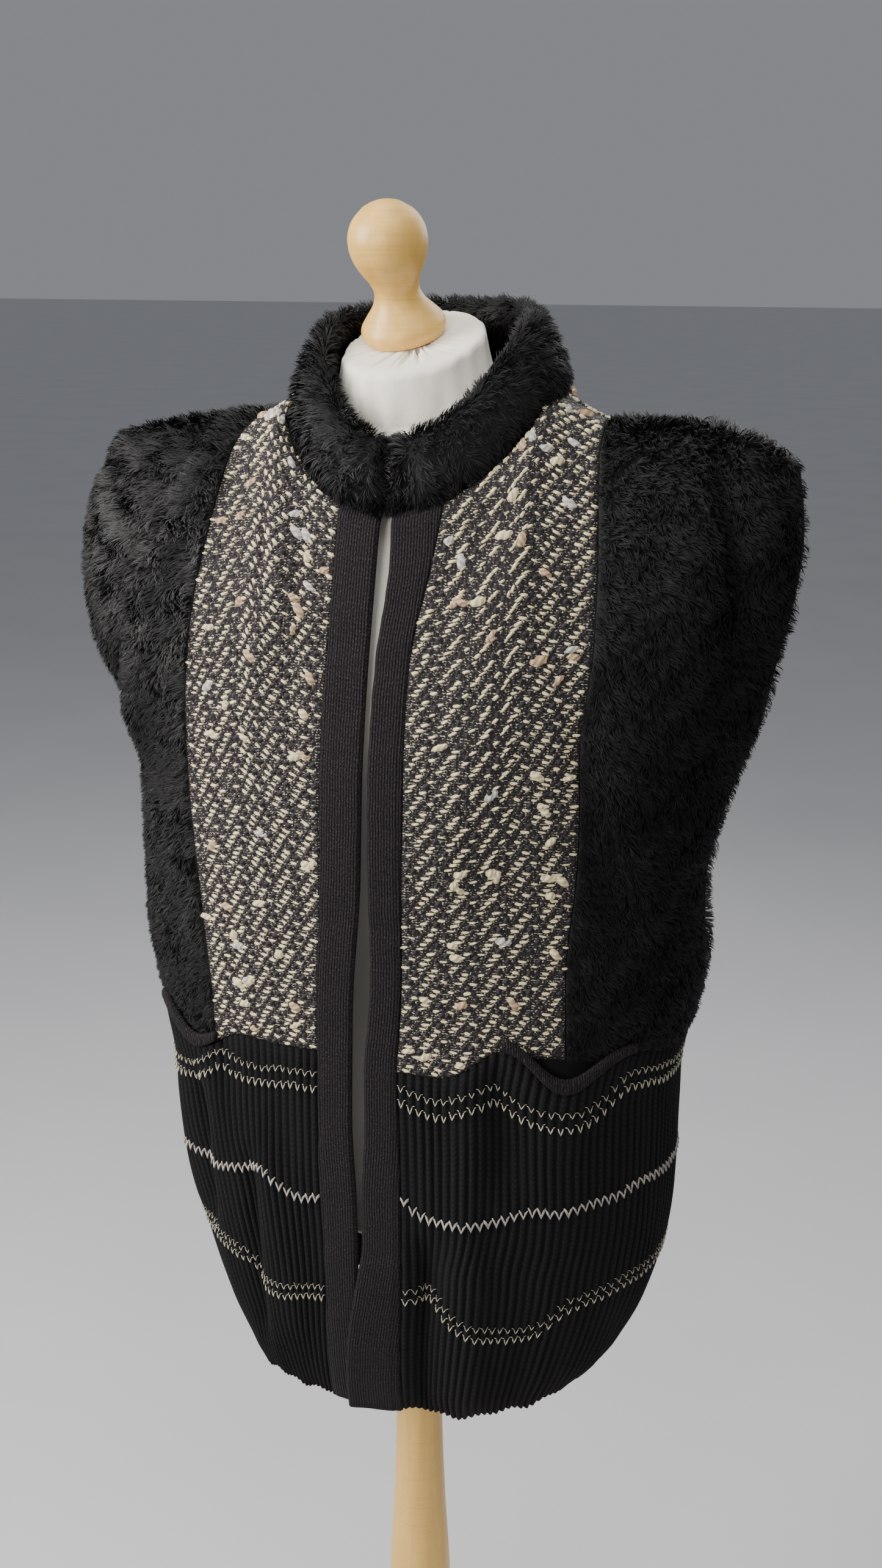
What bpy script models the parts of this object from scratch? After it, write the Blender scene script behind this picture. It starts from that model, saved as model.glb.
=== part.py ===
"""Knit vest on a dress form.

An open-front sleeveless vest of boucle tweed, long-pile fur and ribbed knit,
worn by a smooth torso form on a turned pole with a round base.

Frame: metres, +Z up, origin at the centre of the base's underside. The front
faces -Y, so the wearer's left is at +X. Every cloth piece is a wall on one
shared surface, the middle of the cloth, given by an angle round the body
(0 at the centre front, positive to +X, pi at the centre back) and a level
(the height at the sides, from the hem to the tip of the shoulder).
"""
import math

import bmesh
import bpy
import numpy as np
from mathutils import Vector

# Driving dimensions
SEAM_GAP = 0.0003
WELT_SEAM_GAP = 0.0009
FUR_SEAM_GAP = 0.00045
LEVEL_HEM = 0.640
WELT_LEVEL = 0.965
LEVEL_UNDERARM = 1.020
LEVEL_TOP = 1.400

NECK_CENTRE_X = 0.011
NECK_HALF_WIDTH = 0.098
NECK_FRONT_DEPTH = 0.089
NECK_BACK_DEPTH = 0.078
NECK_SIDE_HEIGHT = {"left": 1.434, "right": 1.430}
NECK_FRONT_DROP = 0.074
NECK_BACK_RISE = 0.026
NECK_CURVE = 0.70

SHOULDER_FULLNESS = 5.0
SHOULDER_ROUNDING = 2.6

TWEED_THICKNESS = 0.003
BACKING_THICKNESS = 0.003
BAND_PROUD = 0.0030
BAND_LAP = 0.0066
WELT_GROOVE = 0.0008
WELT_CREST = 0.0024
WELT_INSIDE = 0.0010
PILE_LENGTH = 0.008
PILE_AT_SEAM = 0.0035
PILE_AT_WELT = 0.0020
PILE_AT_ARMHOLE = 0.0050
PILE_FADE = 0.018

PANEL_ROWS = 17
FRONT_RIBS = 38
BACK_RIBS = 84
RIBS_PER_INSIDE_COLUMN = 2

SIDE_SEAM_TURN = 0.0006
ARMHOLE_LOW = 1.035
ARMHOLE_TURN = 0.12
ARMHOLE_FADE = 0.030

POCKET_OPEN = 0.0075
POCKET_LINING_TOP = 0.998
POCKET_LINING_LOW = 0.840
BINDING_HALF_THICKNESS = 0.0030
BINDING_HALF_HEIGHT = 0.0055

COLLAR_HALF_THICKNESS = 0.0075
COLLAR_TOP_HALF_WIDTH = 0.073
COLLAR_TOP_FRONT = 0.078
COLLAR_TOP_BACK = 0.066
COLLAR_FRONT_HEIGHT = 0.050
COLLAR_SIDE_HEIGHT = 0.051
COLLAR_BACK_HEIGHT = 0.035
COLLAR_GAP_HALF = 0.0045
COLLAR_SEAT = 0.0030

FORM_BOTTOM = 0.790
NECK_CAP_HEIGHT = 1.471
NECK_CAP_RADIUS = 0.053
NECK_CAP_TILT = math.radians(21.0)
NECK_CAP_ROLL = math.radians(3.0)
FINIAL_LENGTH = 0.0975
FINIAL_FOOT_X = -0.010
FINIAL_FOOT_Y = 0.008
FINIAL_SEAT = 0.0006
FINIAL_TIP_RADIUS = 0.0055
BASE_RADIUS = 0.170
BASE_HEIGHT = 0.026

WELD_DISTANCE = 0.00001
PALE_WOOD = (0.62, 0.40, 0.20)
BLACK_FUR = (0.010, 0.009, 0.010)
BAND_KNIT = (0.020, 0.017, 0.020)


def smooth(keys, values, at):
    """Value at `at` of a smooth curve through the rows, level past both ends."""
    slopes = np.gradient(values, keys)
    at = np.clip(at, keys[0], keys[-1])
    row = np.clip(np.searchsorted(keys, at) - 1, 0, len(keys) - 2)
    span = keys[row + 1] - keys[row]
    t = (at - keys[row]) / span
    start = (1 + 2 * t) * (1 - t) ** 2 * values[row] + t * (1 - t) ** 2 * span * slopes[row]
    end = t * t * (3 - 2 * t) * values[row + 1] + t * t * (t - 1) * span * slopes[row + 1]
    return start + end


def ease(value, low, high):
    """0 below low, 1 above high and a smooth step between them."""
    t = np.clip((value - low) / (high - low), 0.0, 1.0)
    return t * t * (3 - 2 * t)


class Table:
    """Rows of named columns, read smoothly by the first column."""

    def __init__(self, columns, rows):
        names = columns.split()
        data = np.array(rows, dtype=float).T
        self.keys = data[0]
        self.columns = dict(zip(names[1:], data[1:]))

    def read(self, column, at):
        return smooth(self.keys, self.columns[column], at)


# Half widths to the wearer's left (+X) and right (-X), half depths in front and
# behind, squareness of the section, and how far each side hangs above its level
BODY = Table("level left right front back power left_lift right_lift", (
    (0.640, 0.155, 0.134, 0.1005, 0.0980, 2.50, 0.020, -0.006),
    (0.665, 0.171, 0.145, 0.1080, 0.1050, 2.45, 0.016, -0.006),
    (0.700, 0.187, 0.161, 0.1145, 0.1120, 2.35, 0.010, -0.008),
    (0.750, 0.202, 0.175, 0.1190, 0.1180, 2.40, 0.006, -0.010),
    (0.800, 0.2090, 0.184, 0.1240, 0.1220, 2.40, 0.000, -0.018),
    (0.850, 0.2110, 0.191, 0.1280, 0.1240, 2.40, -0.002, -0.028),
    (0.900, 0.2110, 0.196, 0.1300, 0.1240, 2.40, -0.006, -0.034),
    (0.945, 0.2120, 0.199, 0.1310, 0.1220, 2.35, -0.010, -0.034),
    (0.985, 0.2200, 0.206, 0.1320, 0.1210, 2.30, -0.010, -0.028),
    (1.020, 0.2270, 0.216, 0.1325, 0.1200, 2.20, -0.006, -0.018),
    (1.086, 0.2270, 0.220, 0.1328, 0.1200, 2.05, 0.000, -0.004),
    (1.160, 0.2460, 0.224, 0.1332, 0.1210, 1.95, 0.000, 0.000),
    (1.200, 0.2600, 0.240, 0.1320, 0.1210, 1.88, 0.000, 0.000),
    (1.255, 0.2710, 0.264, 0.1250, 0.1200, 1.82, 0.000, 0.000),
    (1.300, 0.2800, 0.271, 0.1170, 0.1170, 1.78, 0.000, 0.000),
    (1.350, 0.2850, 0.266, 0.1070, 0.1100, 1.74, 0.000, 0.000),
    (1.400, 0.2800, 0.244, 0.0975, 0.1000, 1.70, 0.000, 0.000)))

# Height of the shoulder seam at each distance from the neck's centre
SHOULDER = Table("reach left right", (
    (0.098, 1.4340, 1.4300),
    (0.120, 1.4220, 1.4170),
    (0.140, 1.4165, 1.4130),
    (0.170, 1.4160, 1.4105),
    (0.200, 1.4160, 1.4050),
    (0.220, 1.4120, 1.4005),
    (0.240, 1.4065, 1.3970),
    (0.270, 1.3920, 1.3900)))

# Edges of the two front bands: out is beside the tweed, in is at the opening
BAND = Table("level right_out right_in left_in left_out", (
    (0.640, -0.0391, -0.0080, -0.0212, 0.0228),
    (0.680, -0.0378, -0.0070, -0.0185, 0.0248),
    (0.720, -0.0362, -0.0065, -0.0140, 0.0268),
    (0.760, -0.0345, -0.0065, -0.0070, 0.0290),
    (0.800, -0.0336, -0.0050, -0.0010, 0.0305),
    (0.850, -0.0340, -0.0042, 0.0010, 0.0322),
    (0.900, -0.0330, -0.0055, 0.0046, 0.0322),
    (0.960, -0.0316, -0.0040, 0.0060, 0.0315),
    (1.010, -0.0305, -0.0022, 0.0110, 0.0348),
    (1.110, -0.0257, 0.0050, 0.0113, 0.0364),
    (1.190, -0.0250, 0.0070, 0.0114, 0.0377),
    (1.240, -0.0245, 0.0073, 0.0118, 0.0372),
    (1.300, -0.0237, 0.0072, 0.0130, 0.0385),
    (1.360, -0.0240, 0.0073, 0.0172, 0.0480),
    (1.400, -0.0245, 0.0075, 0.0160, 0.0525)))

# Distance of the tweed's outer seam from the middle, in front and behind
FUR_SEAM = Table("level left right left_back right_back", (
    (0.930, 0.150, 0.125, 0.140, 0.135),
    (1.000, 0.150, 0.126, 0.142, 0.138),
    (1.170, 0.157, 0.144, 0.150, 0.145),
    (1.320, 0.158, 0.131, 0.152, 0.132),
    (1.400, 0.147, 0.109, 0.147, 0.109)))

# Level of the welt's upper edge by its share of the half width, in front and behind
WELT_TOP = Table("share left right back", (
    (0.00, 0.957, 0.965, 0.962),
    (0.15, 0.957, 0.965, 0.962),
    (0.35, 0.961, 0.966, 0.962),
    (0.50, 0.984, 0.968, 0.963),
    (0.70, 0.955, 0.955, 0.964),
    (0.87, 0.981, 0.978, 0.967),
    (1.00, 0.972, 0.972, 0.972)))

# Reach of the pocket mouths along the welt's edge, as shares of the half width
POCKET = {"left": (0.49, 0.885), "right": (0.59, 0.955)}

# Soft troughs (negative depth) and ridges that run from a high to a low point:
# x and level of the high end, x and level of the low end, depth, width
FRONT_FOLDS = (
    (-0.122, 1.390, -0.168, 1.300, 0.0150, 0.016),
    (-0.168, 1.300, -0.192, 1.185, 0.0120, 0.016),
    (-0.156, 1.400, -0.205, 1.300, -0.0180, 0.014),
    (-0.205, 1.300, -0.222, 1.200, -0.0150, 0.012),
    (0.232, 1.395, 0.256, 1.310, -0.0080, 0.013),
    (0.256, 1.310, 0.240, 1.180, -0.0060, 0.013),
    (0.175, 1.160, 0.205, 1.060, 0.0050, 0.014),
    (0.155, 1.220, 0.185, 1.080, -0.0050, 0.016),
    (-0.076, 1.395, -0.064, 1.330, 0.0050, 0.010),
    (-0.064, 1.330, -0.075, 1.240, 0.0040, 0.012),
    (0.090, 1.320, 0.075, 1.120, 0.0030, 0.026),
    (0.080, 0.955, 0.080, 0.800, 0.0050, 0.015),
    (0.108, 0.955, 0.112, 0.880, -0.0060, 0.012),
    (0.150, 0.950, 0.150, 0.840, 0.0040, 0.018),
    (0.052, 0.800, 0.044, 0.650, -0.0100, 0.010),
    (0.084, 0.790, 0.074, 0.650, 0.0070, 0.016),
    (0.128, 0.740, 0.112, 0.650, -0.0030, 0.012),
    (-0.150, 0.930, -0.152, 0.790, -0.0080, 0.010),
    (-0.174, 0.920, -0.172, 0.780, 0.0040, 0.012),
    (-0.100, 0.850, -0.104, 0.690, -0.0070, 0.010),
    (-0.074, 0.870, -0.072, 0.700, 0.0040, 0.014))
BACK_FOLDS = (
    (-0.150, 1.380, -0.205, 1.180, -0.0080, 0.016),
    (0.165, 1.380, 0.215, 1.190, -0.0080, 0.016),
    (0.020, 1.300, 0.045, 1.060, -0.0040, 0.020),
    (0.070, 0.950, 0.066, 0.700, -0.0070, 0.012),
    (0.035, 0.930, 0.036, 0.680, 0.0050, 0.014),
    (-0.050, 0.950, -0.048, 0.690, -0.0070, 0.012),
    (-0.095, 0.920, -0.088, 0.700, 0.0050, 0.014),
    (0.130, 0.900, 0.122, 0.720, -0.0050, 0.012),
    (-0.140, 0.880, -0.132, 0.700, -0.0050, 0.012))
FOLD_FADE = 0.035

# Half widths and depths of the form, with the forward tilt of each section
FORM = Table("height half front back power tilt", (
    (0.850, 0.160, 0.1020, 0.1080, 2.30, 0.0),
    (0.920, 0.146, 0.0960, 0.0980, 2.30, 0.0),
    (0.990, 0.124, 0.0880, 0.0840, 2.30, 0.0),
    (1.060, 0.129, 0.0960, 0.0880, 2.30, 0.0),
    (1.130, 0.143, 0.1120, 0.0980, 2.25, 0.0),
    (1.190, 0.152, 0.1180, 0.1030, 2.20, 0.0),
    (1.260, 0.159, 0.1060, 0.1020, 2.15, 0.0),
    (1.320, 0.166, 0.0880, 0.0930, 2.05, 0.0),
    (1.360, 0.170, 0.0740, 0.0800, 1.85, 0.0),
    (1.382, 0.168, 0.0620, 0.0690, 1.55, 0.0),
    (1.397, 0.158, 0.0560, 0.0620, 1.35, 0.02),
    (1.408, 0.134, 0.0530, 0.0580, 1.30, 0.06),
    (1.418, 0.105, 0.0510, 0.0550, 1.40, 0.14),
    (1.430, 0.079, 0.0510, 0.0530, 1.75, 0.24),
    (1.443, 0.057, 0.0520, 0.0525, 2.00, 0.31),
    (1.460, 0.0530, 0.0525, 0.0530, 2.00, 0.36)))

# Turned profiles, from the foot up
FINIAL_PROFILE = Table("along radius", (
    (0.0000, 0.0288),
    (0.0040, 0.0308),
    (0.0098, 0.0304),
    (0.0165, 0.0256),
    (0.0245, 0.0194),
    (0.0330, 0.0164),
    (0.0420, 0.0183),
    (0.0508, 0.0231),
    (0.0595, 0.0268),
    (0.0698, 0.0283),
    (0.0800, 0.0264),
    (0.0878, 0.0215),
    (0.0936, 0.0146)))
POLE_PROFILE = Table("height radius", (
    (0.030, 0.0330),
    (0.060, 0.0300),
    (0.110, 0.0230),
    (0.180, 0.0200),
    (0.250, 0.0235),
    (0.320, 0.0275),
    (0.392, 0.0270),
    (0.480, 0.0225),
    (0.561, 0.0200),
    (0.660, 0.0190),
    (0.790, 0.0190)))

# Heights and insets of the base's edge, from the underside up
BASE_EDGE = (
    (0.000, 0.002),
    (0.002, 0.000),
    (0.014, 0.000),
    (0.020, 0.003),
    (0.0245, 0.009),
    (BASE_HEIGHT, 0.016))


def per_side(table, level, is_left, suffix=""):
    """A value of the left or right column, for each point by its own side."""
    left = table.read("left" + suffix, level)
    right = table.read("right" + suffix, level)
    return np.where(is_left, left, right)


def neck_cosine(x):
    """Cosine of the turn round the neckline at x, zero past the shoulder points."""
    share = np.clip((x - NECK_CENTRE_X) / NECK_HALF_WIDTH, -1.0, 1.0)
    return np.sqrt(1 - share ** 2)


def neck_side_height(x):
    """Height of the neckline's side points, blended from side to side at x."""
    share = ease(x - NECK_CENTRE_X, -NECK_HALF_WIDTH, NECK_HALF_WIDTH)
    return NECK_SIDE_HEIGHT["right"] + (NECK_SIDE_HEIGHT["left"] - NECK_SIDE_HEIGHT["right"]) * share


def top_line(x, is_back):
    """Height of the cloth's upper edge: neckline, then shoulder seam."""
    reach = np.abs(x - NECK_CENTRE_X)
    seam = per_side(SHOULDER, np.maximum(reach, NECK_HALF_WIDTH), x > NECK_CENTRE_X)
    slope = np.where(is_back, NECK_BACK_RISE, -NECK_FRONT_DROP)
    neckline = neck_side_height(x) + slope * neck_cosine(x) ** (2 * NECK_CURVE)
    return np.where(reach < NECK_HALF_WIDTH, neckline, seam)


def fold_depth(x, level, is_back):
    """Sum of the folds at x and level, outwards positive."""
    total = np.zeros_like(x)
    for folds, here in ((FRONT_FOLDS, ~is_back), (BACK_FOLDS, is_back)):
        for high_x, high, low_x, low, depth, width in folds:
            along = np.clip((level - low) / (high - low), 0.0, 1.0)
            across = (x - (low_x + (high_x - low_x) * along)) / width
            fade = ease(level, low - FOLD_FADE, low + FOLD_FADE / 2)
            fade = fade * (1 - ease(level, high - FOLD_FADE / 2, high + FOLD_FADE))
            total += np.where(here, depth * np.exp(-across ** 2) * fade, 0.0)
    return total


def cloth(angle, level):
    """Middle of the cloth at an angle round the body and a level."""
    angle, level = np.broadcast_arrays(np.asarray(angle, float), np.asarray(level, float))
    angle = (angle + math.pi) % (2 * math.pi) - math.pi
    is_left = angle >= 0
    turn = np.abs(angle)
    is_back = turn > math.pi / 2
    half = per_side(BODY, level, is_left)
    depth = np.where(is_back, BODY.read("back", level), BODY.read("front", level))
    bend = 2 / BODY.read("power", level)
    x = np.where(is_left, 1.0, -1.0) * half * np.sin(turn) ** bend
    y = depth * np.abs(np.cos(turn)) ** bend
    rise = np.clip((level - LEVEL_UNDERARM) / (LEVEL_TOP - LEVEL_UNDERARM), 0.0, 1.0)
    round_off = (1 - rise ** SHOULDER_FULLNESS) ** (1 / SHOULDER_ROUNDING)
    neck_depth = np.where(is_back, NECK_BACK_DEPTH, NECK_FRONT_DEPTH) * neck_cosine(x)
    y = neck_depth + (y - neck_depth) * np.where(rise > 0, round_off, 1.0)
    y = np.where(is_back, y, -y)
    high = LEVEL_UNDERARM + rise * (top_line(x, is_back) - LEVEL_UNDERARM)
    z = np.where(rise > 0, high, level)
    z = z + per_side(BODY, level, is_left, "_lift") * np.sin(turn) ** 2
    reach = np.hypot(x, y)
    push = fold_depth(x, level, is_back) / np.maximum(reach, 1e-6)
    return np.stack((x * (1 + push), y * (1 + push), z), axis=-1)


def cloth_normal(angle, level):
    """Outward direction of the cloth, from steps to both sides of the point."""
    turn_step, level_step = 0.02, 0.004
    low = np.clip(np.asarray(level, float) - level_step, LEVEL_HEM, LEVEL_TOP)
    high = np.clip(np.asarray(level, float) + level_step, LEVEL_HEM, LEVEL_TOP)
    across = cloth(angle + turn_step, level) - cloth(angle - turn_step, level)
    up = cloth(angle, high) - cloth(angle, low)
    normal = np.cross(across, up)
    return normal / np.linalg.norm(normal, axis=-1, keepdims=True)


def angle_at(x, level, is_back=False):
    """Angle round the body at which the cloth reaches x on a level."""
    half = per_side(BODY, level, np.asarray(x) > 0)
    share = np.clip(np.abs(x) / half, 0.0, 1.0)
    turn = np.arcsin(share ** (BODY.read("power", level) / 2))
    return np.sign(x) * (math.pi - turn if is_back else turn)


def spread(start, end, level, count):
    """Angles from start to end that part one level into equal lengths."""
    dense = np.linspace(start, end, 240)
    points = cloth(dense, level)
    steps = np.linalg.norm(np.diff(points, axis=0), axis=1)
    length = np.concatenate(((0.0,), np.cumsum(steps)))
    return np.interp(np.linspace(0, length[-1], count), length, dense)


def panel_angles(start, end, levels, columns):
    """Angles of a panel's grid, a row for each level."""
    return np.array([spread(a, b, level, columns) for a, b, level in zip(start, end, levels)])


def offset(angles, levels, distance):
    """Points of a grid moved out from the cloth's middle by a distance."""
    return cloth(angles, levels) + cloth_normal(angles, levels) * np.asarray(distance)[..., None]


def material(name, colour, roughness, metallic=0.0):
    """A principled material of one colour."""
    finish = bpy.data.materials.get(name) or bpy.data.materials.new(name)
    finish.use_nodes = True
    shader = finish.node_tree.nodes["Principled BSDF"]
    shader.inputs["Base Color"].default_value = (*colour, 1.0)
    shader.inputs["Roughness"].default_value = roughness
    shader.inputs["Metallic"].default_value = metallic
    finish.diffuse_color = (*colour, 1.0)
    return finish


def add_object(name, mesh_data, finish):
    """An object of the scene with one material and smooth shading."""
    mesh_data.materials.append(finish)
    mesh_data.shade_smooth()
    mesh_data.set_sharp_from_angle(angle=math.radians(40))
    part = bpy.data.objects.new(name, mesh_data)
    bpy.context.scene.collection.objects.link(part)
    return part


def closed_mesh(name, build):
    """A mesh made by build(bm), with its faces turned outwards."""
    bm = bmesh.new()
    build(bm)
    bmesh.ops.recalc_face_normals(bm, faces=bm.faces[:])
    mesh_data = bpy.data.meshes.new(name)
    bm.to_mesh(mesh_data)
    bm.free()
    return mesh_data


def add_grid(bm, points):
    """Vertices of a grid of points, and its four-sided faces."""
    grid = [[bm.verts.new(Vector(p)) for p in row] for row in points]
    for low, high in zip(grid, grid[1:]):
        for i in range(len(low) - 1):
            bm.faces.new((low[i], low[i + 1], high[i + 1], high[i]))
    return grid


def join_edges(bm, fine, coarse):
    """Faces between an edge and a plainer edge with fewer points."""
    ratio = (len(fine) - 1) // (len(coarse) - 1)
    for i in range(len(coarse) - 1):
        start = i * ratio
        middle = start + ratio // 2
        for j in range(start, start + ratio):
            bm.faces.new((fine[j], fine[j + 1], coarse[i] if j < middle else coarse[i + 1]))
        bm.faces.new((coarse[i], fine[middle], coarse[i + 1]))


def add_wall(name, outside, inside, finish):
    """A closed wall between an outer grid and an inner one with the same rows."""

    def build(bm):
        outer = add_grid(bm, outside)
        inner = add_grid(bm, inside)
        for i in (0, -1):
            if len(outer[i]) == len(inner[i]):
                for j in range(len(outer[i]) - 1):
                    bm.faces.new((outer[i][j], outer[i][j + 1], inner[i][j + 1], inner[i][j]))
            else:
                join_edges(bm, outer[i], inner[i])
        for row in range(len(outer) - 1):
            for j in (0, -1):
                bm.faces.new((outer[row][j], outer[row + 1][j], inner[row + 1][j], inner[row][j]))

    return add_object(name, closed_mesh(name, build), finish)


def add_tube(name, sections, finish):
    """A closed solid through rings of points, with a flat cap at each end."""

    def build(bm):
        rings = [[bm.verts.new(Vector(p)) for p in ring] for ring in sections]
        for low, high in zip(rings, rings[1:]):
            for i in range(len(low)):
                j = (i + 1) % len(low)
                bm.faces.new((low[i], low[j], high[j], high[i]))
        bm.faces.new(rings[0])
        bm.faces.new(rings[-1])

    return add_object(name, closed_mesh(name, build), finish)


def keep_off_shoulder_seam(points, is_back):
    """The upper row of a grid, kept to its own side of the shoulder seam."""
    row = points[-1]
    on_seam = np.abs(row[:, 0] - NECK_CENTRE_X) >= NECK_HALF_WIDTH - 0.004
    limit = SEAM_GAP
    clamped = np.maximum(row[:, 1], limit) if is_back else np.minimum(row[:, 1], -limit)
    row[:, 1] = np.where(on_seam, clamped, row[:, 1])
    return points


def upper_levels(rows):
    """Shares of a panel's height, closer together near the shoulder."""
    share = np.linspace(0, 1, rows)
    return 1 - (1 - share) ** 1.45


def panel_grid(start_of, end_of, columns, rows, is_back):
    """Angles and levels of a panel that stands on the welt's upper edge."""
    share = upper_levels(rows)
    levels = WELT_LEVEL + (LEVEL_TOP - WELT_LEVEL) * share
    angles = panel_angles(start_of(levels), end_of(levels), levels, columns)
    low_x = cloth(angles[0], levels[0])[:, 0]
    bottom = welt_top_level(low_x, WELT_LEVEL, is_back)
    for i in range(columns - 1):
        between = np.linspace(0, 1, 9)
        edge = welt_top_level(low_x[i] + (low_x[i + 1] - low_x[i]) * between, WELT_LEVEL, is_back)
        short = np.max(edge - (bottom[i] + (bottom[i + 1] - bottom[i]) * between))
        bottom[i:i + 2] += max(0.0, short)
    bottom += WELT_SEAM_GAP
    return angles, bottom[None, :] + (LEVEL_TOP - bottom[None, :]) * share[:, None]


def welt_top_level(x, level, is_back):
    """Level of the welt's upper edge at x."""
    half = per_side(BODY, level, x > 0)
    share = np.abs(x) / half
    if is_back:
        return WELT_TOP.read("back", share)
    return np.where(x > 0, WELT_TOP.read("left", share), WELT_TOP.read("right", share))


def pocket_bulge(x, level, top):
    """How far the welt stands off the body at the pocket's mouth."""
    half = per_side(BODY, level, x > 0)
    share = np.abs(x) / half
    start, end = POCKET["left"]
    start = np.where(x > 0, start, POCKET["right"][0])
    end = np.where(x > 0, end, POCKET["right"][1])
    along = np.clip((share - start) / (end - start), 0.0, 1.0)
    return POCKET_OPEN * np.sin(along * math.pi) ** 0.6 * ease(level, top - 0.075, top)


def build_band(side):
    """A front band of double knit from the hem to the collar."""
    sign = 1 if side == "left" else -1
    levels = np.concatenate((np.linspace(LEVEL_HEM, 1.30, 20), np.linspace(1.325, LEVEL_TOP, 4)))
    inner_edge = angle_at(BAND.read(side + "_in", levels), levels)
    outer_edge = angle_at(BAND.read(side + "_out", levels) - sign * SEAM_GAP, levels)
    across = np.array((0.0, 0.06, 0.5, 0.94, 1.0))
    angles = inner_edge[:, None] + (outer_edge - inner_edge)[:, None] * across
    grid = np.broadcast_to(levels[:, None], angles.shape)
    over = np.zeros(angles.shape)
    if side == "left":
        lapped = 1 - ease(levels, 0.755, 0.800)
        over = BAND_LAP * lapped[:, None] * (1 - across) ** 1.2
    rounded = np.array((0.0012, BAND_PROUD, BAND_PROUD + 0.0004, BAND_PROUD, 0.0012))
    outside = offset(angles, grid, rounded + over)
    inside = offset(angles, grid, over - BACKING_THICKNESS / 2 + 0.0005)
    finish = material("band_knit", BAND_KNIT, 0.9)
    return add_wall("front_band_" + side, outside, inside, finish)


def build_tweed(name, start_of, end_of, columns, is_back):
    """A tweed panel that stands on the welt's upper edge."""
    angles, levels = panel_grid(start_of, end_of, columns, PANEL_ROWS, is_back)
    half = np.full(levels.shape, TWEED_THICKNESS / 2)
    outside = keep_off_shoulder_seam(offset(angles, levels, half), is_back)
    inside = keep_off_shoulder_seam(offset(angles, levels, -half), is_back)
    return add_wall(name, outside, inside, material("boucle_tweed", (0.30, 0.27, 0.22), 0.85))


def build_front_tweed(side):
    """A front panel of tweed between the band and the fur."""
    sign = 1 if side == "left" else -1

    def start(levels):
        return angle_at(BAND.read(side + "_out", levels) + sign * SEAM_GAP, levels)

    def end(levels):
        return angle_at(sign * (FUR_SEAM.read(side, levels) - FUR_SEAM_GAP), levels)

    return build_tweed("front_tweed_" + side, start, end, 8, False)


def armhole_turn(level):
    """How far an edge stays short of the side, zero below the armhole."""
    return ARMHOLE_TURN * ease(level, ARMHOLE_LOW, ARMHOLE_LOW + ARMHOLE_FADE)


def build_fur(side, is_back):
    """A fur panel from the tweed to the side seam and the armhole."""
    sign = 1 if side == "left" else -1
    suffix = "_back" if is_back else ""

    def start(levels):
        return angle_at(sign * (FUR_SEAM.read(side + suffix, levels) + FUR_SEAM_GAP), levels, is_back)

    def end(levels):
        short = SIDE_SEAM_TURN + armhole_turn(levels)
        return sign * (math.pi / 2 + (short if is_back else -short))

    angles, levels = panel_grid(start, end, 8, PANEL_ROWS, is_back)
    middle = cloth(angles, levels)
    from_seam = np.linalg.norm(middle - middle[:, :1], axis=-1)
    from_side = np.linalg.norm(middle - middle[:, -1:], axis=-1)
    pile = PILE_AT_SEAM + (PILE_LENGTH - PILE_AT_SEAM) * ease(from_seam, 0.0, PILE_FADE)
    at_armhole = ease(levels, ARMHOLE_LOW, ARMHOLE_LOW + ARMHOLE_FADE)
    pile -= (PILE_LENGTH - PILE_AT_ARMHOLE) * at_armhole * (1 - ease(from_side, 0.0, PILE_FADE))
    pile = PILE_AT_WELT + (pile - PILE_AT_WELT) * ease(levels - levels[:1], 0.004, 0.004 + PILE_FADE)
    outside = keep_off_shoulder_seam(offset(angles, levels, pile), is_back)
    backing = np.full(levels.shape, -BACKING_THICKNESS / 2)
    inside = keep_off_shoulder_seam(offset(angles, levels, backing), is_back)
    name = ("back_fur_" if is_back else "front_fur_") + side
    return add_wall(name, outside, inside, material("black_fur", BLACK_FUR, 0.8))


def build_back_tweed():
    """The tweed back between the two back fur panels."""

    def start(levels):
        right = angle_at(FUR_SEAM_GAP - FUR_SEAM.read("right_back", levels), levels, True)
        return right + 2 * math.pi

    def end(levels):
        return angle_at(FUR_SEAM.read("left_back", levels) - FUR_SEAM_GAP, levels, True)

    return build_tweed("back_tweed", start, end, 13, True)


def welt_shares():
    """Shares of the welt's height from the hem to its upper edge."""
    return np.array((0.0, 0.07, 0.20, 0.40, 0.62, 0.82, 1.0))


def welt_grid(name, start_of, end_of, ribs, is_back):
    """A ribbed welt: raised ribs outside and a plain inside."""
    columns = 2 * ribs + 1
    ratio = 2 * RIBS_PER_INSIDE_COLUMN
    shares = welt_shares()
    mid_levels = LEVEL_HEM + (WELT_LEVEL - LEVEL_HEM) * shares
    angles = panel_angles(start_of(mid_levels), end_of(mid_levels), mid_levels, columns)
    top_x = cloth(angles[-1], mid_levels[-1])[:, 0]
    top = welt_top_level(top_x, WELT_LEVEL, is_back)
    levels = LEVEL_HEM + (top[None, :] - LEVEL_HEM) * shares[:, None]
    bulge = np.zeros(levels.shape)
    if not is_back:
        bulge = pocket_bulge(cloth(angles, levels)[..., 0], levels, top[None, :])
    crest = np.arange(columns) % 2
    ribbed = WELT_GROOVE + (WELT_CREST - WELT_GROOVE) * crest
    outside = offset(angles, levels, bulge + ribbed)
    inside = offset(angles, levels, bulge - WELT_INSIDE)[:, ::ratio]
    finish = material("welt_knit", (0.012, 0.011, 0.013), 0.9)
    return add_wall(name, outside, inside, finish)


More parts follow.
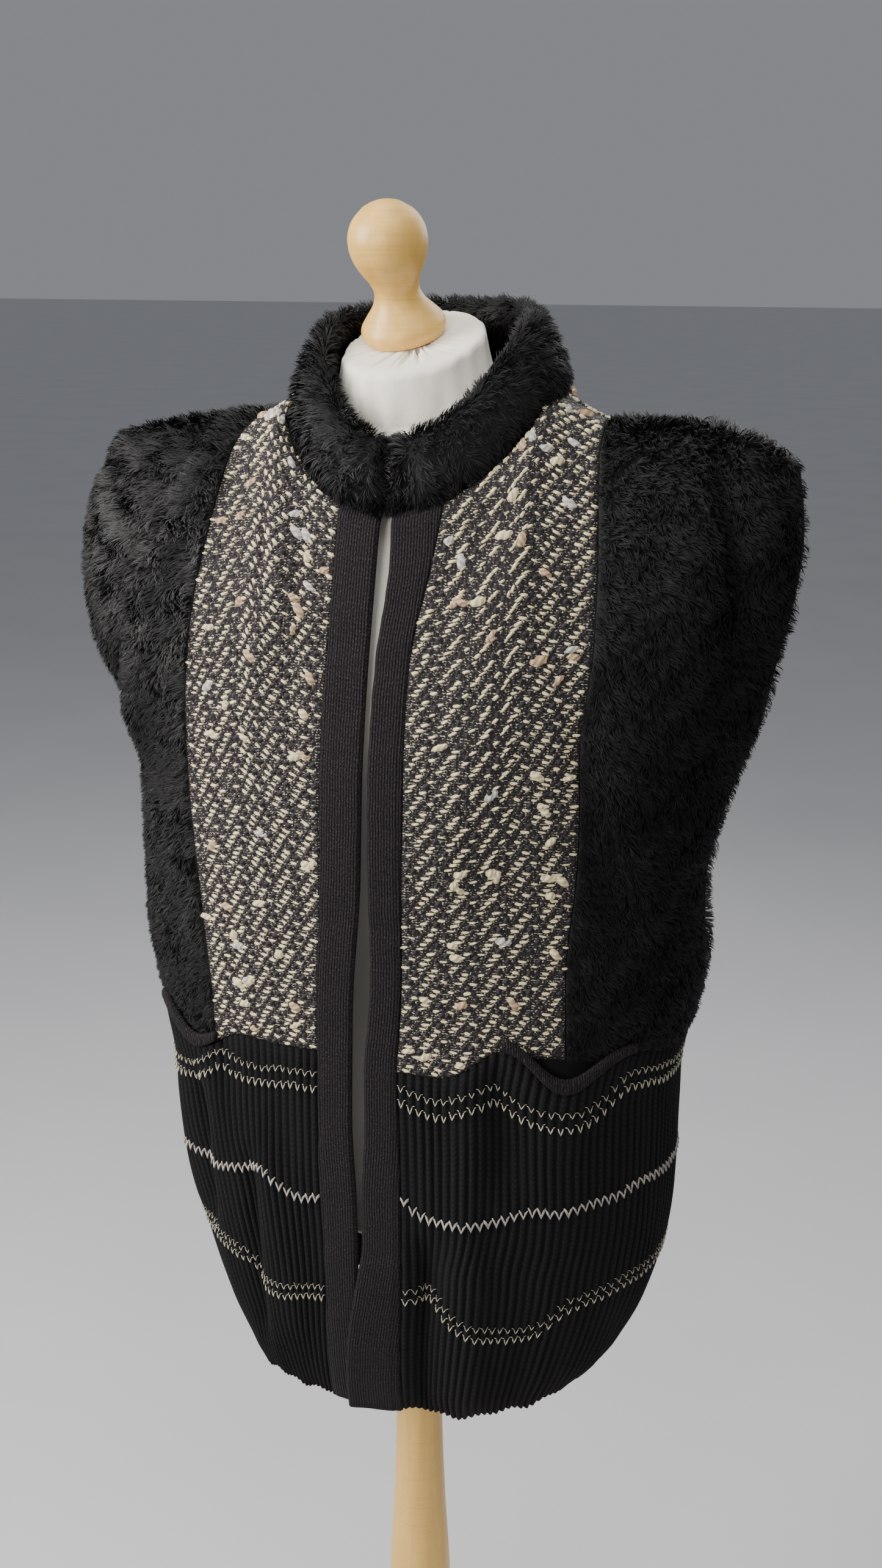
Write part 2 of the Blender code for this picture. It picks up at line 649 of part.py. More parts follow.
def build_front_welt(side):
    """The ribbed welt of one front, from the band to the side seam."""
    sign = 1 if side == "left" else -1

    def start(levels):
        return angle_at(BAND.read(side + "_out", levels) + sign * SEAM_GAP, levels)

    def end(levels):
        return np.full(len(levels), sign * (math.pi / 2 - SIDE_SEAM_TURN))

    return welt_grid("front_welt_" + side, start, end, FRONT_RIBS, False)


def build_back_welt():
    """The ribbed welt of the back, from side seam to side seam."""

    def start(levels):
        return np.full(len(levels), 1.5 * math.pi - SIDE_SEAM_TURN)

    def end(levels):
        return np.full(len(levels), math.pi / 2 + SIDE_SEAM_TURN)

    return welt_grid("back_welt", start, end, BACK_RIBS, True)


def build_pocket_binding(side):
    """The rolled knit edge of a pocket's mouth."""
    sign = 1 if side == "left" else -1
    stations, corners = 19, 8
    start, end = POCKET[side]
    share = np.linspace(start + 0.01, end - 0.01, stations)
    half = BODY.read(side, WELT_LEVEL)
    x = sign * share * half
    level = welt_top_level(x, WELT_LEVEL, False)
    angles = angle_at(x, np.full(stations, WELT_LEVEL))
    stand_off = pocket_bulge(cloth(angles, level)[:, 0], level, level)
    proud = np.maximum(stand_off + 0.0008, PILE_AT_WELT + BINDING_HALF_THICKNESS + 0.0009)
    seat = level + BINDING_HALF_HEIGHT + SEAM_GAP * 3
    centre = offset(angles, seat, proud)
    outward = cloth_normal(angles, seat)
    outward[:, 2] = 0
    outward /= np.linalg.norm(outward, axis=-1, keepdims=True)
    taper = np.sin(np.linspace(0.32, math.pi - 0.32, stations)) ** 0.35
    sections = []
    for i in range(stations):
        ring = []
        for k in range(corners):
            turn = 2 * math.pi * (k + 0.5) / corners
            out = outward[i] * (BINDING_HALF_THICKNESS * taper[i] * math.cos(turn))
            up = np.array((0, 0, BINDING_HALF_HEIGHT * taper[i] * math.sin(turn)))
            ring.append(centre[i] + out + up)
        sections.append(ring)
    return add_tube("pocket_binding_" + side, sections, material("band_knit", BAND_KNIT, 0.9))


def build_pocket_lining(side):
    """The inner wall of a pocket, behind the fur, the tweed and the welt."""
    sign = 1 if side == "left" else -1
    columns = 9
    levels = np.linspace(POCKET_LINING_LOW, POCKET_LINING_TOP, 7)
    start, end = POCKET[side]
    half = BODY.read(side, levels)
    narrow = 0.06 * (1 - ease(levels, POCKET_LINING_LOW, 0.92))
    a = angle_at(sign * half * (start - 0.03 + narrow), levels)
    b = angle_at(sign * half * (end - 0.02 - narrow), levels)
    angles = panel_angles(a, b, levels, columns)
    grid = np.broadcast_to(levels[:, None], angles.shape)
    behind = BACKING_THICKNESS / 2 + SEAM_GAP * 3
    slack = 0.0045 * ease(grid, POCKET_LINING_LOW, 0.90) * (1 - ease(grid, 0.955, POCKET_LINING_TOP))
    outside = offset(angles, grid, -(behind + slack))
    inside = offset(angles, grid, -(behind + slack + 0.0012))
    return add_wall("pocket_lining_" + side, outside, inside, material("lining", (0.015, 0.014, 0.016), 0.6))


def collar_line(turn, is_top):
    """A point of the collar's lower or upper middle line at a turn round the neck."""
    is_back = np.cos(turn) < 0
    cosine = np.abs(np.cos(turn))
    x = NECK_CENTRE_X + (COLLAR_TOP_HALF_WIDTH if is_top else NECK_HALF_WIDTH) * math.sin(turn)
    if is_top:
        depth = COLLAR_TOP_BACK if is_back else COLLAR_TOP_FRONT
    else:
        depth = NECK_BACK_DEPTH if is_back else NECK_FRONT_DEPTH
    y = depth * cosine if is_back else -depth * cosine
    slope = NECK_BACK_RISE if is_back else -NECK_FRONT_DROP
    z = neck_side_height(x) + slope * cosine ** (2 * NECK_CURVE) + COLLAR_SEAT
    if is_top:
        end_height = COLLAR_BACK_HEIGHT if is_back else COLLAR_FRONT_HEIGHT
        z += COLLAR_SIDE_HEIGHT + (end_height - COLLAR_SIDE_HEIGHT) * cosine ** 2
    return np.array((x, y, z))


def build_collar():
    """The padded fur collar, open at the centre front."""
    stations, corners = 41, 10
    gap_turn = COLLAR_GAP_HALF / NECK_HALF_WIDTH
    sections = []
    for i in range(stations):
        share = i / (stations - 1)
        turn = gap_turn + (2 * math.pi - 2 * gap_turn) * share
        low, high = collar_line(turn, False), collar_line(turn, True)
        up = high - low
        height = np.linalg.norm(up)
        up /= height
        ahead = collar_line(turn + 0.01, False) - collar_line(turn - 0.01, False)
        out = np.cross(ahead, up)
        out /= np.linalg.norm(out)
        if out @ (low - np.array((NECK_CENTRE_X, 0, low[2]))) < 0:
            out = -out
        nearness = min(i, stations - 1 - i) / 3
        taper = 1 - 0.35 * max(0.0, 1 - nearness) ** 2
        centre = (low + high) / 2
        ring = []
        for k in range(corners):
            corner = 2 * math.pi * k / corners
            side = math.copysign(abs(math.cos(corner)) ** 0.8, math.cos(corner))
            rise = math.copysign(abs(math.sin(corner)) ** 0.8, math.sin(corner))
            ring.append(centre + out * (COLLAR_HALF_THICKNESS * taper * side) + up * (height / 2 * rise))
        sections.append(ring)
    return add_tube("collar_fur", sections, material("black_fur", BLACK_FUR, 0.8))


def form_ring(height, half, front, back, power, tilt, roll, corners):
    """A ring of the form; tilt leans it down to the front and roll to the right."""
    ring = []
    bend = 2 / power
    for k in range(corners):
        turn = 2 * math.pi * k / corners
        x = math.copysign(half * abs(math.sin(turn)) ** bend, math.sin(turn))
        depth = front if math.cos(turn) > 0 else back
        y = -math.copysign(depth * abs(math.cos(turn)) ** bend, math.cos(turn))
        ring.append((x, y, height + y * math.tan(tilt) + x * math.tan(roll)))
    return ring


def build_form():
    """The smooth torso with its slanted neck cap."""
    corners = 36
    sections = []
    heights = np.concatenate((np.linspace(0.830, 1.360, 13), (1.378, 1.391, 1.401, 1.409, 1.4175, 1.429, 1.4415)))
    for rise, share in ((0.0, 0.90), (0.006, 0.965), (0.018, 0.995)):
        row = [FORM.read(column, 0.850) for column in ("half", "front", "back")]
        sections.append(form_ring(FORM_BOTTOM + rise, *(value * share for value in row), 2.3, 0.0, 0.0, corners))
    for height in heights:
        row = [float(FORM.read(column, height)) for column in ("half", "front", "back", "power", "tilt")]
        roll = row[-1] / NECK_CAP_TILT * NECK_CAP_ROLL
        sections.append(form_ring(height, *row, roll, corners))
    for drop, share in ((0.005, 1.0), (0.0012, 0.975), (0.0, 0.92)):
        radius = NECK_CAP_RADIUS * share
        height = NECK_CAP_HEIGHT - drop
        ring = form_ring(height, radius, radius, radius, 2.0, NECK_CAP_TILT, NECK_CAP_ROLL, corners)
        sections.append(ring)
    return add_tube("form_torso", sections, material("form_jersey", (0.80, 0.77, 0.72), 0.8))


def add_turned(name, profile, steps, finish):
    """A turned solid: (height, radius) points spun round the Z axis."""

    def build(bm):
        points = [(0.0, 0.0, profile[0][0])]
        points += [(radius, 0.0, height) for height, radius in profile]
        points.append((0.0, 0.0, profile[-1][0]))
        verts = [bm.verts.new(point) for point in points]
        edges = [bm.edges.new(pair) for pair in zip(verts, verts[1:])]
        bmesh.ops.spin(bm, geom=verts + edges, cent=(0, 0, 0), axis=(0, 0, 1), dvec=(0, 0, 0),
                       angle=2 * math.pi, steps=steps, use_merge=True, use_duplicate=False)
        bmesh.ops.remove_doubles(bm, verts=bm.verts, dist=WELD_DISTANCE)

    return add_object(name, closed_mesh(name, build), finish)


def build_finial():
    """The turned knob, square to the slanted neck cap."""
    axis = Vector((-math.tan(NECK_CAP_ROLL), -math.tan(NECK_CAP_TILT), 1)).normalized()
    cap_height = NECK_CAP_HEIGHT + FINIAL_FOOT_X * math.tan(NECK_CAP_ROLL)
    cap_height += FINIAL_FOOT_Y * math.tan(NECK_CAP_TILT)
    heights = np.linspace(0, FINIAL_PROFILE.keys[-1], 17)
    profile = list(zip(heights, FINIAL_PROFILE.read("radius", heights)))
    profile.append((FINIAL_LENGTH, FINIAL_TIP_RADIUS))
    finial = add_turned("form_finial", profile, 20, material("pale_wood", PALE_WOOD, 0.4))
    finial.location = Vector((FINIAL_FOOT_X, FINIAL_FOOT_Y, cap_height)) + axis * FINIAL_SEAT
    finial.rotation_euler = Vector((0, 0, 1)).rotation_difference(axis).to_euler()


def build_pole():
    """The turned pole between the base and the form."""
    length = FORM_BOTTOM - BASE_HEIGHT - 2 * SEAM_GAP
    heights = np.concatenate(((0.0, 0.019, 0.044, 0.074), np.linspace(0.114, 0.594, 11), (0.674, length)))
    foot = BASE_HEIGHT + SEAM_GAP
    profile = list(zip(heights, POLE_PROFILE.read("radius", heights + foot)))
    pole = add_turned("stand_pole", profile, 20, material("pale_wood", PALE_WOOD, 0.4))
    pole.location = (0, 0, foot)


def build_base():
    """The plain round base with a softened upper edge."""
    profile = [(height, BASE_RADIUS - inset) for height, inset in BASE_EDGE]
    add_turned("stand_base", profile, 40, material("pale_wood", PALE_WOOD, 0.4))


def main():
    """Clear the scene, build every piece and hang them all from one empty."""
    for old in list(bpy.data.objects):
        bpy.data.objects.remove(old, do_unlink=True)
    for side in ("left", "right"):
        build_band(side)
        build_front_tweed(side)
        build_fur(side, False)
        build_fur(side, True)
        build_front_welt(side)
        build_pocket_binding(side)
        build_pocket_lining(side)
    build_back_tweed()
    build_back_welt()
    build_collar()
    build_form()
    build_finial()
    build_pole()
    build_base()
    pieces = list(bpy.data.objects)
    whole = bpy.data.objects.new("vest_on_form", None)
    bpy.context.scene.collection.objects.link(whole)
    for piece in pieces:
        piece.parent = whole


main()
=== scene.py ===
"""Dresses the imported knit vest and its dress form, and lights them softly.

Every cloth piece lies on one shared surface, the middle of the cloth. A point
of it has an angle round the body (0 at the centre front, positive to the
wearer's left at +X, pi at the centre back) and a level (the height at the
sides, from the hem to the tip of the shoulder).
"""
import logging
import math
from dataclasses import dataclass
from enum import Enum
from typing import Any, Callable, Sequence

import bmesh
import bpy
import numpy as np
from mathutils import Matrix, Vector
from mathutils.kdtree import KDTree


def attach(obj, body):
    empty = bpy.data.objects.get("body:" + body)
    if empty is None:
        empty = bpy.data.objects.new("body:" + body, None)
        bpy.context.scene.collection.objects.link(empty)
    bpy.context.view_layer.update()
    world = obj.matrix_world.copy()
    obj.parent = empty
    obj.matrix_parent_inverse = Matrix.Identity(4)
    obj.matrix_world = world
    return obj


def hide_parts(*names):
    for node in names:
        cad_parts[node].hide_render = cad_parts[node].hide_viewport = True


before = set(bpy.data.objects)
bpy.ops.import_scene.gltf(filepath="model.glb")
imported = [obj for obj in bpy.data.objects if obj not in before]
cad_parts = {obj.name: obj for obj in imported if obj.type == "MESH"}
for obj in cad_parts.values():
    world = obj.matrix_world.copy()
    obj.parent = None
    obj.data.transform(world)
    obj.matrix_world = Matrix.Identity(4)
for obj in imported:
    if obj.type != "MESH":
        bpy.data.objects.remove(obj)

LOG = logging.getLogger("vest")
Array = np.ndarray
Colour = tuple[float, float, float]

SEED = 20
FUR_SEAM_GAP = 0.00045
LEVEL_HEM = 0.640
WELT_LEVEL = 0.965
LEVEL_UNDERARM = 1.020
LEVEL_TOP = 1.400
NECK_CENTRE_X = 0.011
NECK_HALF_WIDTH = 0.098
NECK_CURVE = 0.70
# Yarn finishes side by side in the map OFBake
YARN_CELLS = 6


class Side(Enum):
    """A side of the wearer, with the sign of its X."""

    LEFT = 1
    RIGHT = -1

    @property
    def word(self) -> str:
        """The side's name, as the nodes spell it."""
        return self.name.lower()


class Face(Enum):
    """The front or the back of the garment."""

    FRONT = "front"
    BACK = "back"


class Hold(Enum):
    """How a stripe is knitted into the ribs."""

    FINE = 0
    THICK = 1


def smooth(keys: Array, values: Array, at: Any) -> Array:
    """Reads a smooth curve through rows.

    Args:
        keys: Places of the rows, rising.
        values: Values of the rows.
        at: Places to read.

    Returns:
        The values there, level past both ends.
    """
    slopes = np.gradient(values, keys)
    at = np.clip(at, keys[0], keys[-1])
    row = np.clip(np.searchsorted(keys, at) - 1, 0, len(keys) - 2)
    span = keys[row + 1] - keys[row]
    t = (at - keys[row]) / span
    start = (1 + 2 * t) * (1 - t) ** 2 * values[row] + t * (1 - t) ** 2 * span * slopes[row]
    end = t * t * (3 - 2 * t) * values[row + 1] + t * t * (t - 1) * span * slopes[row + 1]
    return start + end


def ease(value: Any, low: float, high: float) -> Array:
    """Steps smoothly from 0 at low to 1 at high."""
    t = np.clip((value - low) / (high - low), 0.0, 1.0)
    return t * t * (3 - 2 * t)


class Table:
    """Rows of named columns, read smoothly by the first column."""

    def __init__(self, columns: str, rows: Sequence[Sequence[float]]) -> None:
        """Keeps the rows.

        Args:
            columns: Names of the columns, parted by spaces.
            rows: One tuple of numbers for each row.
        """
        data = np.array(rows, dtype=float).T
        self.keys = data[0]
        self.columns = dict(zip(columns.split()[1:], data[1:]))

    def read(self, column: str, at: Any) -> Array:
        """Reads a column at a place or at many."""
        return smooth(self.keys, self.columns[column], at)


# The same tables as the part's source: the body, the shoulder seam, the seams
BODY = Table("level left right front back power left_lift right_lift", (
    (0.640, 0.155, 0.134, 0.1005, 0.0980, 2.50, 0.020, -0.006),
    (0.665, 0.171, 0.145, 0.1080, 0.1050, 2.45, 0.016, -0.006),
    (0.700, 0.187, 0.161, 0.1145, 0.1120, 2.35, 0.010, -0.008),
    (0.750, 0.202, 0.175, 0.1190, 0.1180, 2.40, 0.006, -0.010),
    (0.800, 0.2090, 0.184, 0.1240, 0.1220, 2.40, 0.000, -0.018),
    (0.850, 0.2110, 0.191, 0.1280, 0.1240, 2.40, -0.002, -0.028),
    (0.900, 0.2110, 0.196, 0.1300, 0.1240, 2.40, -0.006, -0.034),
    (0.945, 0.2120, 0.199, 0.1310, 0.1220, 2.35, -0.010, -0.034),
    (0.985, 0.2200, 0.206, 0.1320, 0.1210, 2.30, -0.010, -0.028),
    (1.020, 0.2270, 0.216, 0.1325, 0.1200, 2.20, -0.006, -0.018),
    (1.086, 0.2270, 0.220, 0.1328, 0.1200, 2.05, 0.000, -0.004),
    (1.160, 0.2460, 0.224, 0.1332, 0.1210, 1.95, 0.000, 0.000),
    (1.200, 0.2600, 0.240, 0.1320, 0.1210, 1.88, 0.000, 0.000),
    (1.255, 0.2710, 0.264, 0.1250, 0.1200, 1.82, 0.000, 0.000),
    (1.300, 0.2800, 0.271, 0.1170, 0.1170, 1.78, 0.000, 0.000),
    (1.350, 0.2850, 0.266, 0.1070, 0.1100, 1.74, 0.000, 0.000),
    (1.400, 0.2800, 0.244, 0.0975, 0.1000, 1.70, 0.000, 0.000)))
SHOULDER = Table("reach left right", (
    (0.098, 1.4340, 1.4300),
    (0.120, 1.4220, 1.4170),
    (0.140, 1.4165, 1.4130),
    (0.170, 1.4160, 1.4105),
    (0.200, 1.4160, 1.4050),
    (0.220, 1.4120, 1.4005),
    (0.240, 1.4065, 1.3970),
    (0.270, 1.3920, 1.3900)))
BAND = Table("level right_out right_in left_in left_out", (
    (0.640, -0.0391, -0.0080, -0.0212, 0.0228),
    (0.680, -0.0378, -0.0070, -0.0185, 0.0248),
    (0.720, -0.0362, -0.0065, -0.0140, 0.0268),
    (0.760, -0.0345, -0.0065, -0.0070, 0.0290),
    (0.800, -0.0336, -0.0050, -0.0010, 0.0305),
    (0.850, -0.0340, -0.0042, 0.0010, 0.0322),
    (0.900, -0.0330, -0.0055, 0.0046, 0.0322),
    (0.960, -0.0316, -0.0040, 0.0060, 0.0315),
    (1.010, -0.0305, -0.0022, 0.0110, 0.0348),
    (1.110, -0.0257, 0.0050, 0.0113, 0.0364),
    (1.190, -0.0250, 0.0070, 0.0114, 0.0377),
    (1.240, -0.0245, 0.0073, 0.0118, 0.0372),
    (1.300, -0.0237, 0.0072, 0.0130, 0.0385),
    (1.360, -0.0240, 0.0073, 0.0172, 0.0480),
    (1.400, -0.0245, 0.0075, 0.0160, 0.0525)))
FUR_SEAM = Table("level left right left_back right_back", (
    (0.930, 0.150, 0.125, 0.140, 0.135),
    (1.000, 0.150, 0.126, 0.142, 0.138),
    (1.170, 0.157, 0.144, 0.150, 0.145),
    (1.320, 0.158, 0.131, 0.152, 0.132),
    (1.400, 0.147, 0.109, 0.147, 0.109)))
WELT_TOP = Table("share left right back", (
    (0.00, 0.957, 0.965, 0.962),
    (0.15, 0.957, 0.965, 0.962),
    (0.35, 0.961, 0.966, 0.962),
    (0.50, 0.984, 0.968, 0.963),
    (0.70, 0.955, 0.955, 0.964),
    (0.87, 0.981, 0.978, 0.967),
    (1.00, 0.972, 0.972, 0.972)))
POCKET = {Side.LEFT: (0.49, 0.885), Side.RIGHT: (0.59, 0.955)}
# Levels of the stripes round the welt: the upper pair, the middle one, the lower pair
STRIPES = Table("share left_high left_mid left_low right_high right_mid right_low", (
    (0.14, 0.9472, 0.8546, 0.7645, 0.9455, 0.8420, 0.7530),
    (0.20, 0.9415, 0.8403, 0.7650, 0.9455, 0.8378, 0.7525),
    (0.28, 0.9380, 0.8355, 0.7662, 0.9455, 0.8361, 0.7505),
    (0.36, 0.9440, 0.8345, 0.7500, 0.9448, 0.8430, 0.7470),
    (0.44, 0.9515, 0.8370, 0.7420, 0.9436, 0.8550, 0.7455),
    (0.50, 0.9520, 0.8405, 0.7384, 0.9455, 0.8540, 0.7440),
    (0.55, 0.9450, 0.8455, 0.7370, 0.9490, 0.8504, 0.7500),
    (0.60, 0.9405, 0.8496, 0.7359, 0.9525, 0.8490, 0.7620),
    (0.69, 0.9370, 0.8479, 0.7405, 0.9440, 0.8462, 0.7671),
    (0.76, 0.9385, 0.8520, 0.7600, 0.9400, 0.8480, 0.7710),
    (0.82, 0.9475, 0.8540, 0.7660, 0.9390, 0.8500, 0.7755),
    (0.88, 0.9620, 0.8560, 0.7690, 0.9400, 0.8530, 0.7760),
    (0.94, 0.9625, 0.8610, 0.7740, 0.9430, 0.8550, 0.7765),
    (1.00, 0.9560, 0.8570, 0.7740, 0.9450, 0.8560, 0.7770)))
# Folds: x and level of the high end, x and level of the low end, depth, width
FRONT_FOLDS = (
    (-0.122, 1.390, -0.168, 1.300, 0.0150, 0.016),
    (-0.168, 1.300, -0.192, 1.185, 0.0120, 0.016),
    (-0.156, 1.400, -0.205, 1.300, -0.0180, 0.014),
    (-0.205, 1.300, -0.222, 1.200, -0.0150, 0.012),
    (0.232, 1.395, 0.256, 1.310, -0.0080, 0.013),
    (0.256, 1.310, 0.240, 1.180, -0.0060, 0.013),
    (0.175, 1.160, 0.205, 1.060, 0.0050, 0.014),
    (0.155, 1.220, 0.185, 1.080, -0.0050, 0.016),
    (-0.076, 1.395, -0.064, 1.330, 0.0050, 0.010),
    (-0.064, 1.330, -0.075, 1.240, 0.0040, 0.012),
    (0.090, 1.320, 0.075, 1.120, 0.0030, 0.026),
    (0.080, 0.955, 0.080, 0.800, 0.0050, 0.015),
    (0.108, 0.955, 0.112, 0.880, -0.0060, 0.012),
    (0.150, 0.950, 0.150, 0.840, 0.0040, 0.018),
    (0.052, 0.800, 0.044, 0.650, -0.0100, 0.010),
    (0.084, 0.790, 0.074, 0.650, 0.0070, 0.016),
    (0.128, 0.740, 0.112, 0.650, -0.0030, 0.012),
    (-0.150, 0.930, -0.152, 0.790, -0.0080, 0.010),
    (-0.174, 0.920, -0.172, 0.780, 0.0040, 0.012),
    (-0.100, 0.850, -0.104, 0.690, -0.0070, 0.010),
    (-0.074, 0.870, -0.072, 0.700, 0.0040, 0.014))
BACK_FOLDS = (
    (-0.150, 1.380, -0.205, 1.180, -0.0080, 0.016),
    (0.165, 1.380, 0.215, 1.190, -0.0080, 0.016),
    (0.020, 1.300, 0.045, 1.060, -0.0040, 0.020),
    (0.070, 0.950, 0.066, 0.700, -0.0070, 0.012),
    (0.035, 0.930, 0.036, 0.680, 0.0050, 0.014),
    (-0.050, 0.950, -0.048, 0.690, -0.0070, 0.012),
    (-0.095, 0.920, -0.088, 0.700, 0.0050, 0.014),
    (0.130, 0.900, 0.122, 0.720, -0.0050, 0.012),
    (-0.140, 0.880, -0.132, 0.700, -0.0050, 0.012))
FORM = Table("height half front back power tilt", (
    (0.850, 0.160, 0.1020, 0.1080, 2.30, 0.0),
    (0.920, 0.146, 0.0960, 0.0980, 2.30, 0.0),
    (0.990, 0.124, 0.0880, 0.0840, 2.30, 0.0),
    (1.060, 0.129, 0.0960, 0.0880, 2.30, 0.0),
    (1.130, 0.143, 0.1120, 0.0980, 2.25, 0.0),
    (1.190, 0.152, 0.1180, 0.1030, 2.20, 0.0),
    (1.260, 0.159, 0.1060, 0.1020, 2.15, 0.0),
    (1.320, 0.166, 0.0880, 0.0930, 2.05, 0.0),
    (1.360, 0.170, 0.0740, 0.0800, 1.85, 0.0),
    (1.382, 0.168, 0.0620, 0.0690, 1.55, 0.0),
    (1.397, 0.158, 0.0560, 0.0620, 1.35, 0.02),
    (1.408, 0.134, 0.0530, 0.0580, 1.30, 0.06),
    (1.418, 0.105, 0.0510, 0.0550, 1.40, 0.14),
    (1.430, 0.079, 0.0510, 0.0530, 1.75, 0.24),
    (1.443, 0.057, 0.0520, 0.0525, 2.00, 0.31),
    (1.460, 0.0530, 0.0525, 0.0530, 2.00, 0.36)))
FINIAL_PROFILE = Table("along radius", (
    (0.0000, 0.0288),
    (0.0040, 0.0308),
    (0.0098, 0.0304),
    (0.0165, 0.0256),
    (0.0245, 0.0194),
    (0.0330, 0.0164),
    (0.0420, 0.0183),
    (0.0508, 0.0231),
    (0.0595, 0.0268),
    (0.0698, 0.0283),
    (0.0800, 0.0264),
    (0.0878, 0.0215),
    (0.0936, 0.0146)))
POLE_PROFILE = Table("height radius", (
    (0.030, 0.0330),
    (0.060, 0.0300),
    (0.110, 0.0230),
    (0.180, 0.0200),
    (0.250, 0.0235),
    (0.320, 0.0275),
    (0.392, 0.0270),
    (0.480, 0.0225),
    (0.561, 0.0200),
    (0.660, 0.0190),
    (0.790, 0.0190)))


def per_side(table: Table, level: Any, is_left: Array, suffix: str = "") -> Array:
    """Reads the left or the right column, for each point by its own side."""
    return np.where(is_left, table.read("left" + suffix, level), table.read("right" + suffix, level))


@dataclass(frozen=True)
class ClothSurface:
    """The middle of the cloth, as a function of angle and level."""

    neck_front_depth: float = 0.089
    neck_back_depth: float = 0.078
    neck_front_drop: float = 0.074
    neck_back_rise: float = 0.026
    neck_left_height: float = 1.434
    neck_right_height: float = 1.430
    shoulder_fullness: float = 5.0
    shoulder_rounding: float = 2.6
    fold_fade: float = 0.035
    mouth_sag: float = 0.004

    def neck_cosine(self, x: Array) -> Array:
        """Gives the cosine of the turn round the neckline at x."""
        share = np.clip((x - NECK_CENTRE_X) / NECK_HALF_WIDTH, -1.0, 1.0)
        return np.sqrt(1 - share ** 2)

    def neck_side_height(self, x: Array) -> Array:
        """Gives the height of the neckline's side points, blended at x."""
        share = ease(x - NECK_CENTRE_X, -NECK_HALF_WIDTH, NECK_HALF_WIDTH)
        return self.neck_right_height + (self.neck_left_height - self.neck_right_height) * share

    def top_line(self, x: Array, is_back: Array) -> Array:
        """Gives the height of the cloth's upper edge: neckline, then shoulder seam."""
        reach = np.abs(x - NECK_CENTRE_X)
        seam = per_side(SHOULDER, np.maximum(reach, NECK_HALF_WIDTH), x > NECK_CENTRE_X)
        slope = np.where(is_back, self.neck_back_rise, -self.neck_front_drop)
        neckline = self.neck_side_height(x) + slope * self.neck_cosine(x) ** (2 * NECK_CURVE)
        return np.where(reach < NECK_HALF_WIDTH, neckline, seam)

    def fold_depth(self, x: Array, level: Array, is_back: Array) -> Array:
        """Sums the folds at x and level, outwards positive."""
        total = np.zeros_like(x)
        for folds, here in ((FRONT_FOLDS, ~is_back), (BACK_FOLDS, is_back)):
            for high_x, high, low_x, low, depth, width in folds:
                along = np.clip((level - low) / (high - low), 0.0, 1.0)
                across = (x - (low_x + (high_x - low_x) * along)) / width
                fade = ease(level, low - self.fold_fade, low + self.fold_fade / 2)
                fade = fade * (1 - ease(level, high - self.fold_fade / 2, high + self.fold_fade))
                total += np.where(here, depth * np.exp(-across ** 2) * fade, 0.0)
        return total

    def point(self, angle: Any, level: Any) -> Array:
        """Gives points of the surface.

        Args:
            angle: Angles round the body, in radians.
            level: Levels, in metres.

        Returns:
            Points in metres, with a last axis of three.
        """
        angle, level = np.broadcast_arrays(np.asarray(angle, float), np.asarray(level, float))
        angle = (angle + math.pi) % (2 * math.pi) - math.pi
        is_left = angle >= 0
        turn = np.abs(angle)
        is_back = turn > math.pi / 2
        half = per_side(BODY, level, is_left)
        depth = np.where(is_back, BODY.read("back", level), BODY.read("front", level))
        bend = 2 / BODY.read("power", level)
        x = np.where(is_left, 1.0, -1.0) * half * np.sin(turn) ** bend
        y = depth * np.abs(np.cos(turn)) ** bend
        rise = np.clip((level - LEVEL_UNDERARM) / (LEVEL_TOP - LEVEL_UNDERARM), 0.0, 1.0)
        round_off = (1 - rise ** self.shoulder_fullness) ** (1 / self.shoulder_rounding)
        neck = np.where(is_back, self.neck_back_depth, self.neck_front_depth) * self.neck_cosine(x)
        y = neck + (y - neck) * np.where(rise > 0, round_off, 1.0)
        y = np.where(is_back, y, -y)
        high = LEVEL_UNDERARM + rise * (self.top_line(x, is_back) - LEVEL_UNDERARM)
        z = np.where(rise > 0, high, level)
        z = z + per_side(BODY, level, is_left, "_lift") * np.sin(turn) ** 2
        push = self.fold_depth(x, level, is_back) / np.maximum(np.hypot(x, y), 1e-6)
        return np.stack((x * (1 + push), y * (1 + push), z), axis=-1)

    def frame_at(self, angle: Any, level: Any) -> tuple[Array, Array, Array]:
        """Gives the directions across, up and out of the surface, each of length 1."""
        low = np.clip(np.asarray(level, float) - 0.004, LEVEL_HEM, LEVEL_TOP)
        high = np.clip(np.asarray(level, float) + 0.004, LEVEL_HEM, LEVEL_TOP)
        across = unit(self.point(angle + 0.02, level) - self.point(angle - 0.02, level))
        up = self.point(angle, high) - self.point(angle, low)
        out = unit(np.cross(across, up))
        return across, np.cross(out, across), out

    def angle_at(self, x: Any, level: Any, is_back: bool = False) -> Array:
        """Gives the angle at which the surface reaches x on a level."""
        half = per_side(BODY, level, np.asarray(x) > 0)
        share = np.clip(np.abs(x) / half, 0.0, 1.0)
        turn = np.arcsin(share ** (BODY.read("power", level) / 2))
        return np.sign(x) * (math.pi - turn if is_back else turn)

    def spread(self, start: float, end: float, level: float, count: int) -> Array:
        """Gives angles that part one level into equal lengths."""
        dense = np.linspace(start, end, 240)
        length = run_length(self.point(dense, level))
        return np.interp(np.linspace(0, length[-1], count), length, dense)

    def welt_top(self, x: Array, is_back: bool) -> Array:
        """Gives the level of the welt's upper edge at x."""
        share = np.abs(x) / per_side(BODY, WELT_LEVEL, x > 0)
        if is_back:
            return WELT_TOP.read("back", share)
        return np.where(x > 0, WELT_TOP.read("left", share), WELT_TOP.read("right", share))

